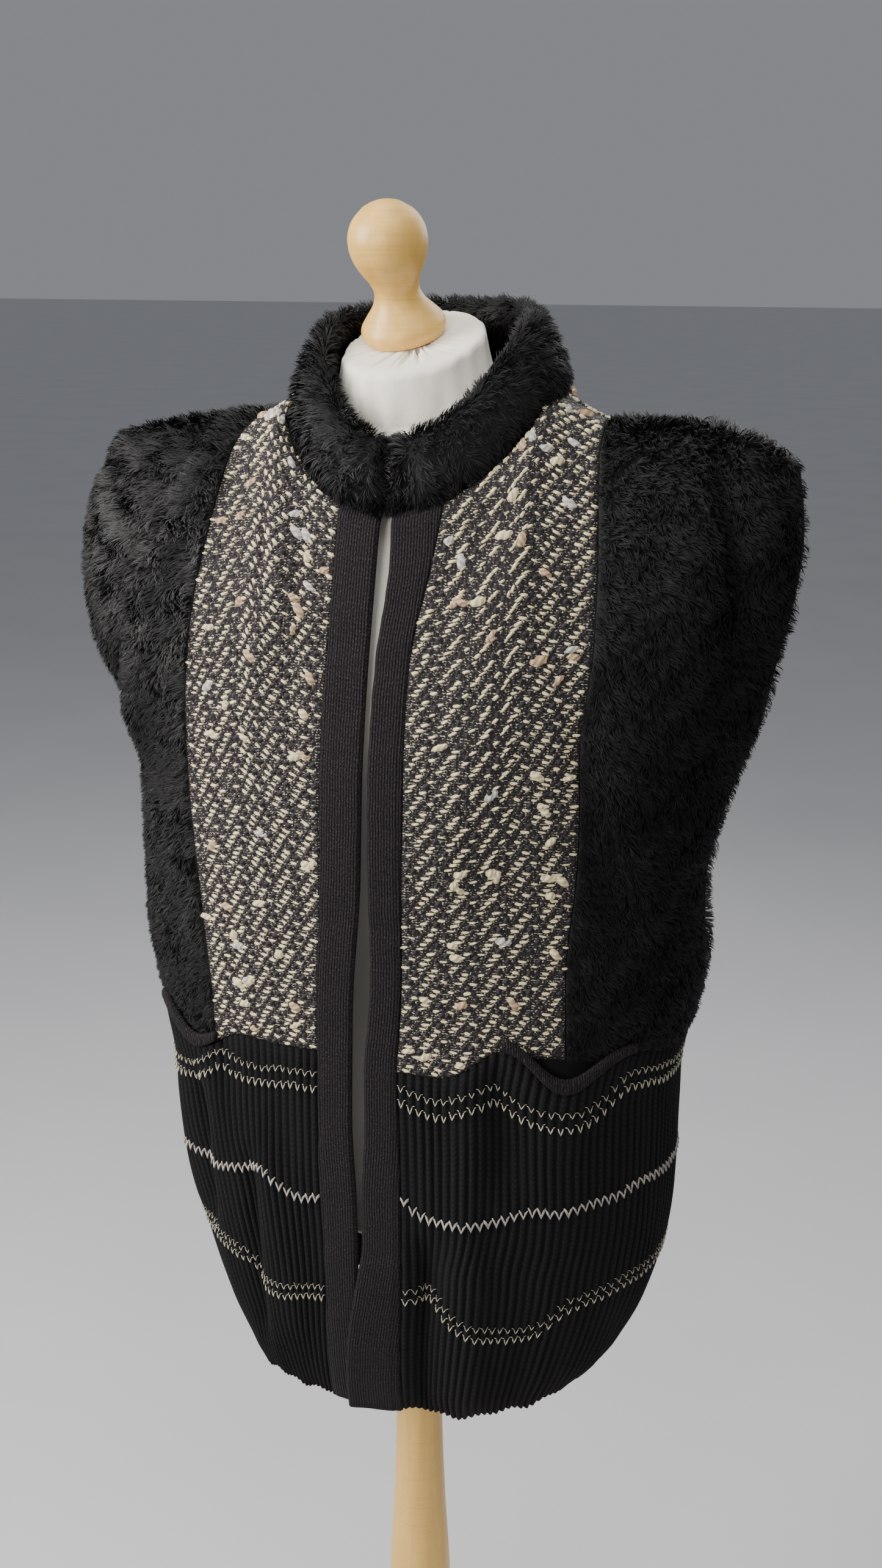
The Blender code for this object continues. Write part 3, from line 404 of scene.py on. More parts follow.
    def panel_bottom(self, x: Array, is_back: bool) -> Array:
        """Gives the level where the panels end: the welt's edge, bridged over the pockets."""
        edge = self.welt_top(x, is_back)
        if is_back:
            return edge
        for side, (start, end) in POCKET.items():
            share = side.value * x / BODY.read(side.word, WELT_LEVEL)
            ends = WELT_TOP.read(side.word, np.array((start, end))) - self.mouth_sag
            bridge = ends[0] + (ends[1] - ends[0]) * (share - start) / (end - start)
            edge = np.where((share > start) & (share < end), np.maximum(edge, bridge), edge)
        return edge

    def offset(self, angle: Array, level: Array, distance: Any) -> Array:
        """Gives points moved out from the surface by a distance."""
        out = self.frame_at(angle, level)[2]
        return self.point(angle, level) + out * np.asarray(distance)[..., None]


CLOTH = ClothSurface()


def unit(vectors: Array) -> Array:
    """Scales vectors to length 1."""
    return vectors / np.maximum(np.linalg.norm(vectors, axis=-1, keepdims=True), 1e-12)


def run_length(points: Array) -> Array:
    """Gives the length run so far at each point of a line."""
    steps = np.linalg.norm(np.diff(points, axis=0), axis=1)
    return np.concatenate(((0.0,), np.cumsum(steps)))


def run_across(points: Array) -> Array:
    """Gives the length run so far across each row of a grid."""
    steps = np.linalg.norm(np.diff(points, axis=1), axis=-1)
    return np.concatenate((np.zeros((len(points), 1)), np.cumsum(steps, axis=1)), axis=1)


def round_turns(corners: int) -> Array:
    """Gives the angles of the corners of a ring."""
    return 2 * math.pi * np.arange(corners) / corners


def end_caps(corners: int, size: int) -> Array:
    """Gives the two faces that close a tube whose last vertex is number size - 1."""
    return np.stack((np.arange(corners)[::-1], np.arange(corners) + size - corners))


def ripple(points: Array, wavelength: float, seed: int) -> Array:
    """Gives a smooth random value from about -1 to 1 at each point.

    Args:
        points: Points in metres.
        wavelength: Size of the ripples, in metres.
        seed: Number that picks the ripples.

    Returns:
        One value for each point.
    """
    random = np.random.default_rng(seed)
    total = np.zeros(points.shape[:-1])
    for _ in range(7):
        direction = unit(random.normal(size=3)) * (2 * math.pi / wavelength) * random.uniform(0.7, 1.5)
        total += np.sin(points @ direction + random.uniform(0, 2 * math.pi))
    return total / 2.6


@dataclass
class Panel:
    """A grid of angles and levels, with the cloth's own lengths across and up."""

    angle: Array
    level: Array
    across: Array
    up: Array

    @property
    def area(self) -> float:
        """The panel's area in square metres."""
        points = CLOTH.point(self.angle, self.level)
        a = points[1:, 1:] - points[:-1, :-1]
        b = points[1:, :-1] - points[:-1, 1:]
        return float(np.linalg.norm(np.cross(a, b), axis=-1).sum() / 2)

    @property
    def cut(self) -> tuple[float, float]:
        """The width and length of the rectangle that the panel is cut from."""
        return float(self.across.max() - self.across.min()), float(self.up.max() - self.up.min())


def make_panel(start: Callable, end: Callable, columns: int, rows: int, is_back: bool,
               low: float = WELT_LEVEL, high: float = LEVEL_TOP, on_welt: bool = True) -> Panel:
    """Makes a panel's grid between two edges.

    Args:
        start: Function from levels to the angles of the first edge.
        end: The same for the last edge.
        columns: Number of grid columns.
        rows: Number of grid rows.
        is_back: True on the back of the body.
        low: Lowest level.
        high: Highest level.
        on_welt: True if the lower edge follows the welt's upper edge.

    Returns:
        The grid, with its angles rising.
    """
    share = 1 - (1 - np.linspace(0, 1, rows)) ** 1.25
    levels = low + (high - low) * share
    angle = np.array([CLOTH.spread(a, b, level, columns)
                      for a, b, level in zip(start(levels), end(levels), levels)])
    level = np.broadcast_to(levels[:, None], angle.shape).copy()
    if on_welt:
        bottom = CLOTH.panel_bottom(CLOTH.point(angle[0], levels[0])[:, 0], is_back) + 0.0006
        level = bottom[None, :] + (high - bottom[None, :]) * share[:, None]
    points = CLOTH.point(angle, level)
    across = run_across(points)
    middle = run_length(points[:, columns // 2])
    up = np.broadcast_to(middle[:, None], angle.shape)
    if angle[0, -1] < angle[0, 0]:
        return Panel(angle[:, ::-1], level[:, ::-1], across[:, ::-1], up[:, ::-1])
    return Panel(angle, level, across, up)


def band_edge(side: Side, part: str) -> Callable:
    """Gives a function from levels to the angles of a band's edge."""
    gap = 0.0001 * side.value if part == "out" else 0.0
    return lambda levels: CLOTH.angle_at(BAND.read(f"{side.word}_{part}", levels) + gap, levels)


def fur_seam(side: Side, face: Face, gap: float) -> Callable:
    """Gives a function from levels to the angles of the seam between tweed and pile."""
    column = side.word + ("_back" if face is Face.BACK else "")
    return lambda levels: CLOTH.angle_at(side.value * (FUR_SEAM.read(column, levels) + gap), levels,
                                         face is Face.BACK)


def new_object(name: str, points: Array, faces: Sequence[Array], uv: Array | None = None,
               uv_name: str = "cloth", slots: Array | None = None,
               is_smooth: bool = True) -> bpy.types.Object:
    """Makes a mesh object from arrays.

    Args:
        name: Name of the object.
        points: Vertices in metres.
        faces: Arrays of vertex numbers, one array for each number of corners.
        uv: Two numbers for each vertex.
        uv_name: Name of the map that holds them.
        slots: Material slot of each face.
        is_smooth: True to shade it smooth.

    Returns:
        The object, linked to the scene.
    """
    mesh = bpy.data.meshes.new(name)
    corners = np.concatenate([face.reshape(-1) for face in faces]).astype(np.int32)
    sizes = np.concatenate([np.full(len(face), face.shape[1]) for face in faces])
    starts = np.concatenate(((0,), np.cumsum(sizes)[:-1])).astype(np.int32)
    mesh.vertices.add(len(points))
    mesh.vertices.foreach_set("co", np.asarray(points, np.float32).ravel())
    mesh.loops.add(len(corners))
    mesh.loops.foreach_set("vertex_index", corners)
    mesh.polygons.add(len(sizes))
    mesh.polygons.foreach_set("loop_start", starts)
    mesh.polygons.foreach_set("use_smooth", np.full(len(sizes), is_smooth))
    if slots is not None:
        mesh.polygons.foreach_set("material_index", np.asarray(slots, np.int32))
    mesh.update(calc_edges=True)
    if uv is not None:
        layer = mesh.uv_layers.new(name=uv_name)
        layer.uv.foreach_set("vector", np.asarray(uv, np.float32)[corners].ravel())
    made = bpy.data.objects.new(name, mesh)
    bpy.context.scene.collection.objects.link(made)
    return made


def dress(node: str, slot: str, *pieces: bpy.types.Object) -> None:
    """Ties pieces to the standing body, and hides the part's node that they stand for."""
    for piece in pieces:
        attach(piece, "root")
        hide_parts(node)


def grid_faces(rows: int, columns: int, start: int = 0, is_closed: bool = False) -> Array:
    """Gives the four-sided faces of a grid of vertices, closed across or open."""
    index = start + np.arange(rows * columns).reshape(rows, columns)
    if is_closed:
        index = np.concatenate((index, index[:, :1]), axis=1)
    return np.stack((index[:-1, :-1], index[:-1, 1:], index[1:, 1:], index[1:, :-1]), axis=-1).reshape(-1, 4)


def wall(name: str, outside: Array, inside: Array, across: Array, up: Array) -> bpy.types.Object:
    """Makes a closed sheet of cloth between an outer and an inner grid.

    Args:
        name: Name of the object.
        outside: Grid of outer points.
        inside: Grid of inner points.
        across: The cloth's length across at each point, in metres.
        up: The same upwards.

    Returns:
        The object, with a map of the cloth's own lengths.
    """
    rows, columns = outside.shape[:2]
    count = rows * columns
    outer = np.arange(count).reshape(rows, columns)
    inner = outer + count
    faces = [grid_faces(rows, columns), grid_faces(rows, columns, count)[:, ::-1]]
    for edge, other, turn in ((outer[0], inner[0], 1), (outer[-1], inner[-1], -1),
                              (outer[:, 0], inner[:, 0], -1), (outer[:, -1], inner[:, -1], 1)):
        rim = np.stack((edge[:-1], other[:-1], other[1:], edge[1:]), axis=-1)
        faces.append(rim[:, ::turn])
    points = np.concatenate((outside.reshape(-1, 3), inside.reshape(-1, 3)))
    uv = np.stack((across, up), axis=-1).reshape(-1, 2)
    return new_object(name, points, [np.concatenate(faces)], np.concatenate((uv, uv)))


class Value:
    """A shader socket that takes part in Python sums."""

    def __init__(self, graph: "Graph", socket: bpy.types.NodeSocket) -> None:
        """Wraps an output socket of a graph."""
        self.graph = graph
        self.socket = socket

    def __add__(self, other: Any) -> "Value":
        """Adds."""
        return self.graph.math("ADD", self, other)

    __radd__ = __add__

    def __sub__(self, other: Any) -> "Value":
        """Takes away."""
        return self.graph.math("SUBTRACT", self, other)

    def __rsub__(self, other: Any) -> "Value":
        """Takes this away from a number."""
        return self.graph.math("SUBTRACT", other, self)

    def __mul__(self, other: Any) -> "Value":
        """Multiplies."""
        return self.graph.math("MULTIPLY", self, other)

    __rmul__ = __mul__

    def __truediv__(self, other: Any) -> "Value":
        """Divides."""
        return self.graph.math("DIVIDE", self, other)


class Graph:
    """A material's nodes, written as Python expressions."""

    def __init__(self, name: str, colour: Colour, roughness: float, **sockets: float) -> None:
        """Starts a material.

        Args:
            name: Name of the material.
            colour: Its plain colour.
            roughness: Its plain roughness.
            sockets: Constants of the shader's other sockets, with _ for a space.
        """
        self.material = bpy.data.materials.new(name)
        self.material.use_nodes = True
        self.material.diffuse_color = (*colour, 1.0)
        self.tree = self.material.node_tree
        self.shader = self.tree.nodes["Principled BSDF"]
        self.shader.inputs["Base Color"].default_value = (*colour, 1.0)
        self.shader.inputs["Roughness"].default_value = roughness
        for key, value in sockets.items():
            self.shader.inputs[key.replace("_", " ")].default_value = value

    def put(self, socket: bpy.types.NodeSocket, value: Any) -> None:
        """Links a value to a socket, or sets it there."""
        if isinstance(value, Value):
            self.tree.links.new(value.socket, socket)
        elif isinstance(value, tuple) and len(value) == 3 and socket.type == "RGBA":
            socket.default_value = (*value, 1.0)
        else:
            socket.default_value = value

    def node(self, kind: str, settings: dict[str, Any] | None = None, output: Any = 0,
             **sockets: Any) -> Value:
        """Adds a node.

        Args:
            kind: Type of the node, without ShaderNode.
            settings: Its properties, and "stops" for a ramp.
            output: Number or name of the output to give back.
            sockets: Values or links of its inputs; in0 is the first input.

        Returns:
            The output.
        """
        made = self.tree.nodes.new("ShaderNode" + kind)
        for key, value in (settings or {}).items():
            if key == "stops":
                self.set_stops(made.color_ramp, value)
            else:
                setattr(made, key, value)
        for key, value in sockets.items():
            name = int(key[2:]) if key.startswith("in") and key[2:].isdigit() else key.replace("_", " ")
            self.put(made.inputs[name], value)
        return Value(self, made.outputs[output])

    @staticmethod
    def set_stops(ramp: bpy.types.ColorRamp, stops: Sequence[tuple[float, Colour]]) -> None:
        """Sets a ramp's stops from pairs of a place and a colour."""
        for place, colour in stops[2:]:
            ramp.elements.new(place)
        for element, (place, colour) in zip(ramp.elements, stops):
            element.position = place
            element.color = (*colour, 1.0)

    def math(self, operation: str, *values: Any) -> Value:
        """Adds a Math node over one, two or three values."""
        return self.node("Math", {"operation": operation}, **{f"in{i}": v for i, v in enumerate(values)})

    def place(self) -> Value:
        """Gives the point in the object's own metres."""
        return self.node("TexCoord", output="Object")

    def map(self, name: str) -> tuple[Value, Value]:
        """Gives the two numbers of a map."""
        vector = self.node("UVMap", {"uv_map": name})
        split = self.node("SeparateXYZ", in0=vector)
        return split, Value(self, split.socket.node.outputs[1])

    def noise(self, vector: Value, scale: float, detail: float = 2.0, roughness: float = 0.5) -> Value:
        """Gives soft noise from 0 to 1."""
        return self.node("TexNoise", Vector=vector, Scale=scale, Detail=detail, Roughness=roughness)

    def vector(self, x: Any, y: Any, z: Any = 0.0) -> Value:
        """Makes a vector of three values."""
        return self.node("CombineXYZ", X=x, Y=y, Z=z)

    def ramp(self, value: Value, stops: Sequence[tuple[float, Colour]]) -> Value:
        """Turns a value into a colour."""
        return self.node("ValToRGB", {"stops": stops}, Fac=value)

    def mix(self, factor: Any, first: Any, second: Any) -> Value:
        """Mixes two colours."""
        return self.node("Mix", {"data_type": "RGBA"}, 2, in0=factor, in6=first, in7=second)

    def between(self, value: Value, low: float, high: float) -> Value:
        """Steps smoothly from 0 at low to 1 at high."""
        settings = {"interpolation_type": "SMOOTHSTEP"}
        return self.node("MapRange", settings, Value=value, From_Min=low, From_Max=high)

    def set(self, socket: str, value: Any) -> None:
        """Sets or links a socket of the shader."""
        self.put(self.shader.inputs[socket], value)

    def bump(self, height: Value, distance: float, strength: float = 1.0) -> None:
        """Raises the surface by a height from 0 to 1 over a distance in metres."""
        self.set("Normal", self.node("Bump", Height=height, Distance=distance, Strength=strength))


@dataclass(frozen=True)
class PileFinish:
    """Dense black pile: each hair has one tone, and darkens towards its root as painted shade low in the
    pile; its lightest tone is a grey-brown painted sheen, where locks catch the light.
    """

    # The darkest tone, also the painted shade at the roots of the hairs.
    deep: Colour = (0.0020, 0.0017, 0.0019)
    black: Colour = (0.0058, 0.0048, 0.0052)
    # A grey-brown painted sheen, for the locks that catch the light.
    smoke: Colour = (0.030, 0.0250, 0.0240)

    def material(self) -> bpy.types.Material:
        """Makes the material, from the map OFBake: tone across, root to tip upwards."""
        graph = Graph("long_pile", self.black, 0.55, Specular_IOR_Level=0.30,
                      Sheen_Weight=0.05, Sheen_Roughness=0.4)
        tone, along = graph.map("OFBake")
        colour = graph.ramp(tone, ((0.0, self.deep), (0.62, self.black), (1.0, self.smoke)))
        # Painted shade: each hair darkens towards its root.
        graph.set("Base Color", graph.mix(along, self.deep, colour))
        graph.set("Roughness", 0.66 - tone * 0.24)
        return graph.material


@dataclass(frozen=True)
class PileBacking:
    """The dark knitted backing that the pile grows from."""

    loop: float = 0.0016

    def material(self) -> bpy.types.Material:
        """Makes the material, from object coordinates."""
        graph = Graph("pile_backing", (0.003, 0.0026, 0.003), 0.9)
        knit = graph.noise(graph.place(), 1 / self.loop, 2.0)
        graph.set("Base Color", graph.mix(knit, (0.0016, 0.0014, 0.0016), (0.0045, 0.004, 0.0044)))
        graph.bump(knit, 0.0004)
        return graph.material


@dataclass(frozen=True)
class YarnFinish:
    """A plied yarn whose twist runs over the map of each short length; its shade colour paints the shade in
    the grooves between the plies.
    """

    name: str
    colour: Colour
    shade: Colour
    roughness: float
    twist: float

    def material(self) -> bpy.types.Material:
        """Makes the material, from the map OFBake: along the yarn and round it."""
        graph = Graph(self.name, self.colour, self.roughness, Specular_IOR_Level=0.35)
        along, around = graph.map("OFBake")
        turns = along * (YARN_CELLS * self.twist) + around * 1.2
        ply = graph.math("SINE", turns * (2 * math.pi)) * 0.5 + 0.5
        # Painted shade: the grooves of the twist take the darker shade colour.
        graph.set("Base Color", graph.mix(ply, self.shade, self.colour))
        graph.bump(ply, 0.0004)
        return graph.material


@dataclass(frozen=True)
class TweedGround:
    """The dark ground of the tweed, with bright ticks between its yarns."""

    row: float = 0.0039
    warp: float = 0.0028

    def material(self) -> bpy.types.Material:
        """Makes the material, from the cloth's own lengths."""
        graph = Graph("tweed_ground", (0.012, 0.010, 0.012), 0.85)
        across, up = graph.map("cloth")
        warp = graph.math("SINE", across * (2 * math.pi / self.warp)) * 0.5 + 0.5
        weft = graph.math("SINE", up * (4 * math.pi / self.row) + warp * 1.4) * 0.5 + 0.5
        fibre = graph.noise(graph.vector(across * 1.0, up * 0.4), 2200.0, 3.0, 0.6)
        tick = graph.noise(graph.vector(across * 0.55, up), 820.0, 1.0)
        lit = graph.between(tick, 0.53, 0.59) * graph.between(weft, 0.30, 0.75)
        dark = graph.mix(fibre, (0.0035, 0.0025, 0.003), (0.020, 0.0145, 0.0165))
        graph.set("Base Color", graph.mix(lit, dark, (0.42, 0.37, 0.27)))
        graph.set("Roughness", 0.85 - lit * 0.35)
        graph.bump(warp * 0.35 + weft * 0.35 + fibre * 0.3, 0.0012)
        return graph.material


@dataclass(frozen=True)
class BandKnit:
    """Heathered charcoal double knit with fine upright ribs; its flecks are dimmed in the grooves between the
    ribs, a painted shade.
    """

    rib: float = 0.0021
    stitch: float = 0.0026

    def material(self) -> bpy.types.Material:
        """Makes the material, from the cloth's own lengths."""
        graph = Graph("band_knit", (0.020, 0.017, 0.021), 0.9, Specular_IOR_Level=0.25)
        across, up = graph.map("cloth")
        wander = graph.noise(graph.vector(across, up), 130.0, 1.0) * 0.0006
        rib = graph.math("SINE", (across + wander) * (2 * math.pi / self.rib)) * 0.5 + 0.5
        lean = graph.math("ABSOLUTE", graph.math("SINE", across * (math.pi / self.rib)))
        loop = graph.math("SINE", (up / self.stitch + lean * 0.6) * (2 * math.pi)) * 0.5 + 0.5
        fleck = graph.noise(graph.vector(across, up * 0.6), 900.0, 3.0, 0.75)
        # Real heathered flecks, dimmed between the ribs as painted shade in the grooves.
        heather_with_groove_shade = graph.between(fleck, 0.44, 0.66) * (0.4 + rib * 0.6)
        graph.set("Base Color", graph.mix(heather_with_groove_shade, (0.0036, 0.0027, 0.0034), (0.043, 0.031, 0.038)))
        graph.bump(rib * 0.6 + loop * rib * 0.5 + fleck * 0.25, 0.0009)
        return graph.material


@dataclass(frozen=True)
class RibKnit:
    """Black rib knit: a column of V stitches on every rib, its colour lighter on the rib crests and stitch
    loops as a painted highlight, and dark between the ribs as painted shade.
    """

    stitch: float = 0.0042

    def material(self) -> bpy.types.Material:
        """Makes the material, from the rib's number across and the length up."""
        graph = Graph("rib_knit", (0.008, 0.007, 0.0085), 0.9, Specular_IOR_Level=0.22)
        rib, up = graph.map("cloth")
        middle = graph.math("ABSOLUTE", graph.math("FRACT", rib) - 0.5) * 2
        wave = graph.math("SINE", (up / self.stitch - middle * 0.75) * (2 * math.pi)) * 0.5 + 0.5
        on_rib = graph.between(1 - middle, 0.25, 0.70)
        gap = graph.between(middle, 0.0, 0.16)
        fibre = graph.noise(graph.vector(rib * 6, up * 700), 3.0, 3.0, 0.65)
        fuzz = graph.between(graph.noise(graph.vector(rib * 9, up * 1100), 2.0, 2.0, 0.7), 0.40, 0.75)
        # Painted highlight on the rib crests and stitch loops, painted shade between the ribs, with the real
        # fuzz and fibre of the yarn.
        light = on_rib * (wave * gap * 0.45 + fuzz * 0.75) * (0.4 + fibre)
        graph.set("Base Color", graph.mix(light, (0.0026, 0.0022, 0.0028), (0.0250, 0.0220, 0.0260)))
        graph.bump(on_rib * wave * gap * 0.40 + fuzz * 0.45 + fibre * 0.25, 0.0012)
        return graph.material


@dataclass(frozen=True)
class PocketCloth:
    """Smooth dark pocket cloth in a fine twill."""

    twill: float = 0.0009

    def material(self) -> bpy.types.Material:
        """Makes the material, from the cloth's own lengths."""
        graph = Graph("pocket_cloth", (0.012, 0.011, 0.013), 0.6)
        across, up = graph.map("cloth")
        line = graph.math("SINE", (across + up) * (2 * math.pi / self.twill)) * 0.5 + 0.5
        graph.set("Base Color", graph.mix(line, (0.008, 0.007, 0.009), (0.018, 0.016, 0.019)))
        graph.bump(line, 0.0002)
        return graph.material


@dataclass(frozen=True)
class Jersey:
    """Off-white cotton jersey of the form's cover."""

    loop: float = 0.0011

    def material(self) -> bpy.types.Material:
        """Makes the material, from object coordinates."""
        graph = Graph("form_jersey", (0.90, 0.87, 0.81), 0.85)
        place = graph.place()
        cloud = graph.noise(place, 14.0, 2.0)
        knit = graph.noise(place, 1 / self.loop, 2.0, 0.6)
        graph.set("Base Color", graph.mix(cloud, (0.90, 0.835, 0.715), (0.95, 0.895, 0.795)))
        graph.bump(knit, 0.0003, 0.6)
        return graph.material


@dataclass(frozen=True)
class PaleWood:
    """Satin lacquered pale wood, its grain along Z."""

    light: Colour = (0.84, 0.51, 0.13)
    dark: Colour = (0.62, 0.34, 0.072)

    def material(self) -> bpy.types.Material:
        """Makes the material, from object coordinates."""
        graph = Graph("pale_wood", self.light, 0.42, Coat_Weight=0.18, Coat_Roughness=0.25)
        place = graph.place()
        stretched = graph.node("Mapping", in0=place, Scale=(26.0, 26.0, 1.6))
        board = graph.node("Mapping", in0=place, Scale=(9.0, 9.0, 0.7))
        grain = graph.noise(stretched, 9.0, 4.0, 0.6)
        flow = graph.noise(board, 3.0, 3.0, 0.5)
        rings = graph.math("SINE", flow * 34.0) * 0.5 + 0.5
        pores = graph.between(graph.noise(stretched, 46.0, 1.0), 0.60, 0.72)
        marks = graph.noise(graph.node("Mapping", in0=place, Scale=(3.0, 3.0, 120.0)), 5.0, 3.0, 0.6)
        tone = grain * 0.35 + rings * 0.30 + graph.between(marks, 0.45, 0.75) * 0.30
        graph.set("Base Color", graph.mix(pores * 0.35, graph.mix(tone, self.light, self.dark), self.dark))
        graph.set("Roughness", 0.38 + grain * 0.14)
        graph.bump(grain * 0.4 + pores * 0.3 + marks * 0.3, 0.0002, 0.5)
        return graph.material


@dataclass(frozen=True)
class Lock:
    """How a patch of pile grows."""

    length: float
    width: float
    stand: float
    swirl: float
    clump: float
    stray: float = 0.12
    crowd: int = 30


def grow_pile(name: str, roots: Array, out: Array, flow: Array, lock: Lock, seed: int,
              length: Array | None = None) -> bpy.types.Object:
    """Grows bent tapering hairs from a surface, drawn together into locks.

    Args:
        name: Name of the piece.
        roots: Points on the backing.
        out: Directions out of it.
        flow: Directions in which the pile lies.
        lock: How it grows.
        seed: Number that picks the hairs.
        length: A share of the full length for each root.

    Returns:
        The pile as one object.
    """
    random = np.random.default_rng(seed)
    count = len(roots)
    side = np.cross(out, flow)
    wave = ripple(roots, 0.042, seed + 1) * lock.swirl + ripple(roots, 0.012, seed + 2) * lock.swirl * 0.8
    stand = np.clip(lock.stand * (1 + 0.40 * ripple(roots, 0.022, seed + 3)), 0.12, 3.0)
    lean = unit(flow + side * wave[:, None])
    reach = lock.length * random.uniform(0.80, 1.08, count) * (1.0 if length is None else length)
    stray = random.normal(scale=lock.stray, size=(count, 3))
    first = unit(out * (stand + 0.45)[:, None] + lean * 0.70 + stray)
    second = unit(out * stand[:, None] * 0.75 + lean * 1.10 + stray * 1.6)
    middle = roots + first * (reach * 0.5)[:, None]
    tip = middle + second * (reach * 0.5)[:, None]
    centres = random.choice(count, max(2, count // lock.crowd), replace=False)
    tree = KDTree(len(centres))
    for i, centre in enumerate(centres):
        tree.insert(tip[centre], i)
    tree.balance()
    nearest = np.array([tree.find(point)[1] for point in tip])
    target = tip[centres][nearest]
    tip = tip + (target - tip) * (lock.clump * random.uniform(0.4, 1.0, count))[:, None]
    middle = middle + (target - middle) * (lock.clump * 0.25)
    turn = random.uniform(-1.1, 1.1, count)
    axis = unit(tip - roots)
    flat = unit(np.cross(axis, out + random.normal(scale=0.05, size=(count, 3))))
    edge = flat * np.cos(turn)[:, None] + np.cross(axis, flat) * np.sin(turn)[:, None]
    edge *= np.where(np.sum(np.cross(edge, axis) * out, axis=1) < 0, -1.0, 1.0)[:, None]
    half = (lock.width / 2 * random.uniform(0.7, 1.2, count))[:, None]
    points = np.stack((roots - edge * half, roots + edge * half,
                       middle + edge * half * 0.85, middle - edge * half * 0.85, tip), axis=1).reshape(-1, 3)
    first_corner = np.arange(count)[:, None] * 5
    quads = first_corner + np.array((0, 1, 2, 3))
    tips = first_corner + np.array((3, 2, 4))
    # Painted sheen: whole locks and broad patches get a lighter tone, as where they catch the light; each
    # hair's tone also differs at random.
    lock_sheen = random.normal(scale=0.5, size=len(centres))[nearest]
    tone = (0.40 + 0.17 * ripple(roots, 0.026, seed + 4) + 0.16 * lock_sheen
            + random.normal(scale=0.13, size=count))
    tone = np.clip(tone, 0.03, 0.97)[:, None] + np.array((-0.012, 0.012, 0.012, -0.012, 0.0))
    along = np.broadcast_to(np.array((0.02, 0.02, 0.5, 0.5, 0.98)), tone.shape)
    uv = np.stack((tone, along), axis=-1).reshape(-1, 2)
    made = new_object(name, points, (quads, tips), uv, "OFBake")
    toward = unit(tip - roots)
    lit = unit(out[:, None, :] * 0.9 + np.cross(np.cross(toward, out), toward)[:, None, :] * 0.5
               + edge[:, None, :] * np.array((-0.35, 0.35, 0.35, -0.35, 0.0))[None, :, None])
    made.data.normals_split_custom_set_from_vertices(lit.reshape(-1, 3).tolist())
    made.data.materials.append(PILE_MATERIAL())
    return made


def scatter(panel: Panel, count: int, seed: int) -> tuple[Array, Array, Array, Array]:
    """Scatters places evenly over a panel.

    Args:
        panel: The panel.
        count: Number of places.
        seed: Number that picks them.

    Returns:
        Angles, levels, and each place's share across and up the grid.
    """
    random = np.random.default_rng(seed)
    points = CLOTH.point(panel.angle, panel.level)
    a = points[1:, 1:] - points[:-1, :-1]
    b = points[1:, :-1] - points[:-1, 1:]
    area = np.linalg.norm(np.cross(a, b), axis=-1).ravel()
    cell = random.choice(len(area), count, p=area / area.sum())
    row, column = np.divmod(cell, panel.angle.shape[1] - 1)
    s, t = random.random(count), random.random(count)

    def blend(grid: Array) -> Array:
        low = grid[row, column] * (1 - s) + grid[row, column + 1] * s
        high = grid[row + 1, column] * (1 - s) + grid[row + 1, column + 1] * s
        return low * (1 - t) + high * t

    rows, columns = panel.angle.shape
    return blend(panel.angle), blend(panel.level), (column + s) / (columns - 1), (row + t) / (rows - 1)


@dataclass
class PilePanels:
    """The four long-pile panels at the sides, front and back."""

    backing: float = 0.0015
    front_hairs: int = 33000
    back_hairs: int = 12000
    armhole_low: float = 1.035
    armhole_turn: float = 0.12
    armhole_fade: float = 0.030
    side_turn: float = 0.0006
    lock: Lock = Lock(0.0108, 0.00086, 1.00, 0.9, 0.55, 0.20, 15)

    def panel(self, side: Side, face: Face) -> Panel:
        """Makes a panel's grid, from the tweed to the side seam and armhole."""
        is_back = face is Face.BACK

        def end(levels: Array) -> Array:
            short = self.side_turn + self.armhole_turn * ease(
                levels, self.armhole_low, self.armhole_low + self.armhole_fade)
            return side.value * (math.pi / 2 + (short if is_back else -short))

        return make_panel(fur_seam(side, face, FUR_SEAM_GAP), end, 34, 66, is_back)

    def build(self, side: Side, face: Face, seed: int) -> None:
        """Builds one panel: its backing cloth and its pile."""
        name = f"{face.value}_fur_{side.word}"
        panel = self.panel(side, face)
        outside = CLOTH.offset(panel.angle, panel.level, np.full(panel.level.shape, self.backing))
        inside = CLOTH.offset(panel.angle, panel.level, np.full(panel.level.shape, -self.backing))
        backing = wall(f"{name}_backing", outside, inside, panel.across, panel.up)
        backing.data.materials.append(BACKING_MATERIAL())
        count = self.front_hairs if face is Face.FRONT else self.back_hairs
        angle, level, across, up = scatter(panel, count, seed)
        right, high, out = CLOTH.frame_at(angle, level)
        roots = CLOTH.point(angle, level) + out * self.backing
        flow = unit(-high + right * side.value * 0.25)
        from_edge = np.minimum(across, 1 - across)
        length = 0.72 + 0.28 * ease(from_edge, 0.0, 0.12)
        length = length * (0.55 + 0.45 * ease(up, 0.0, 0.04))
        pile = grow_pile(f"{name}_pile", roots, out, flow, self.lock, seed, length)
        dress(name, "long_pile", backing, pile)
        panel.cut
        fit_area(panel)
        LOG.info("%s: %d hairs", name, count)


def fit_area(panel: Panel) -> float:
    """Gives a panel's flat area, no more than the rectangle that it is cut from."""
    width, length = panel.cut
    return min(panel.area, width * length)


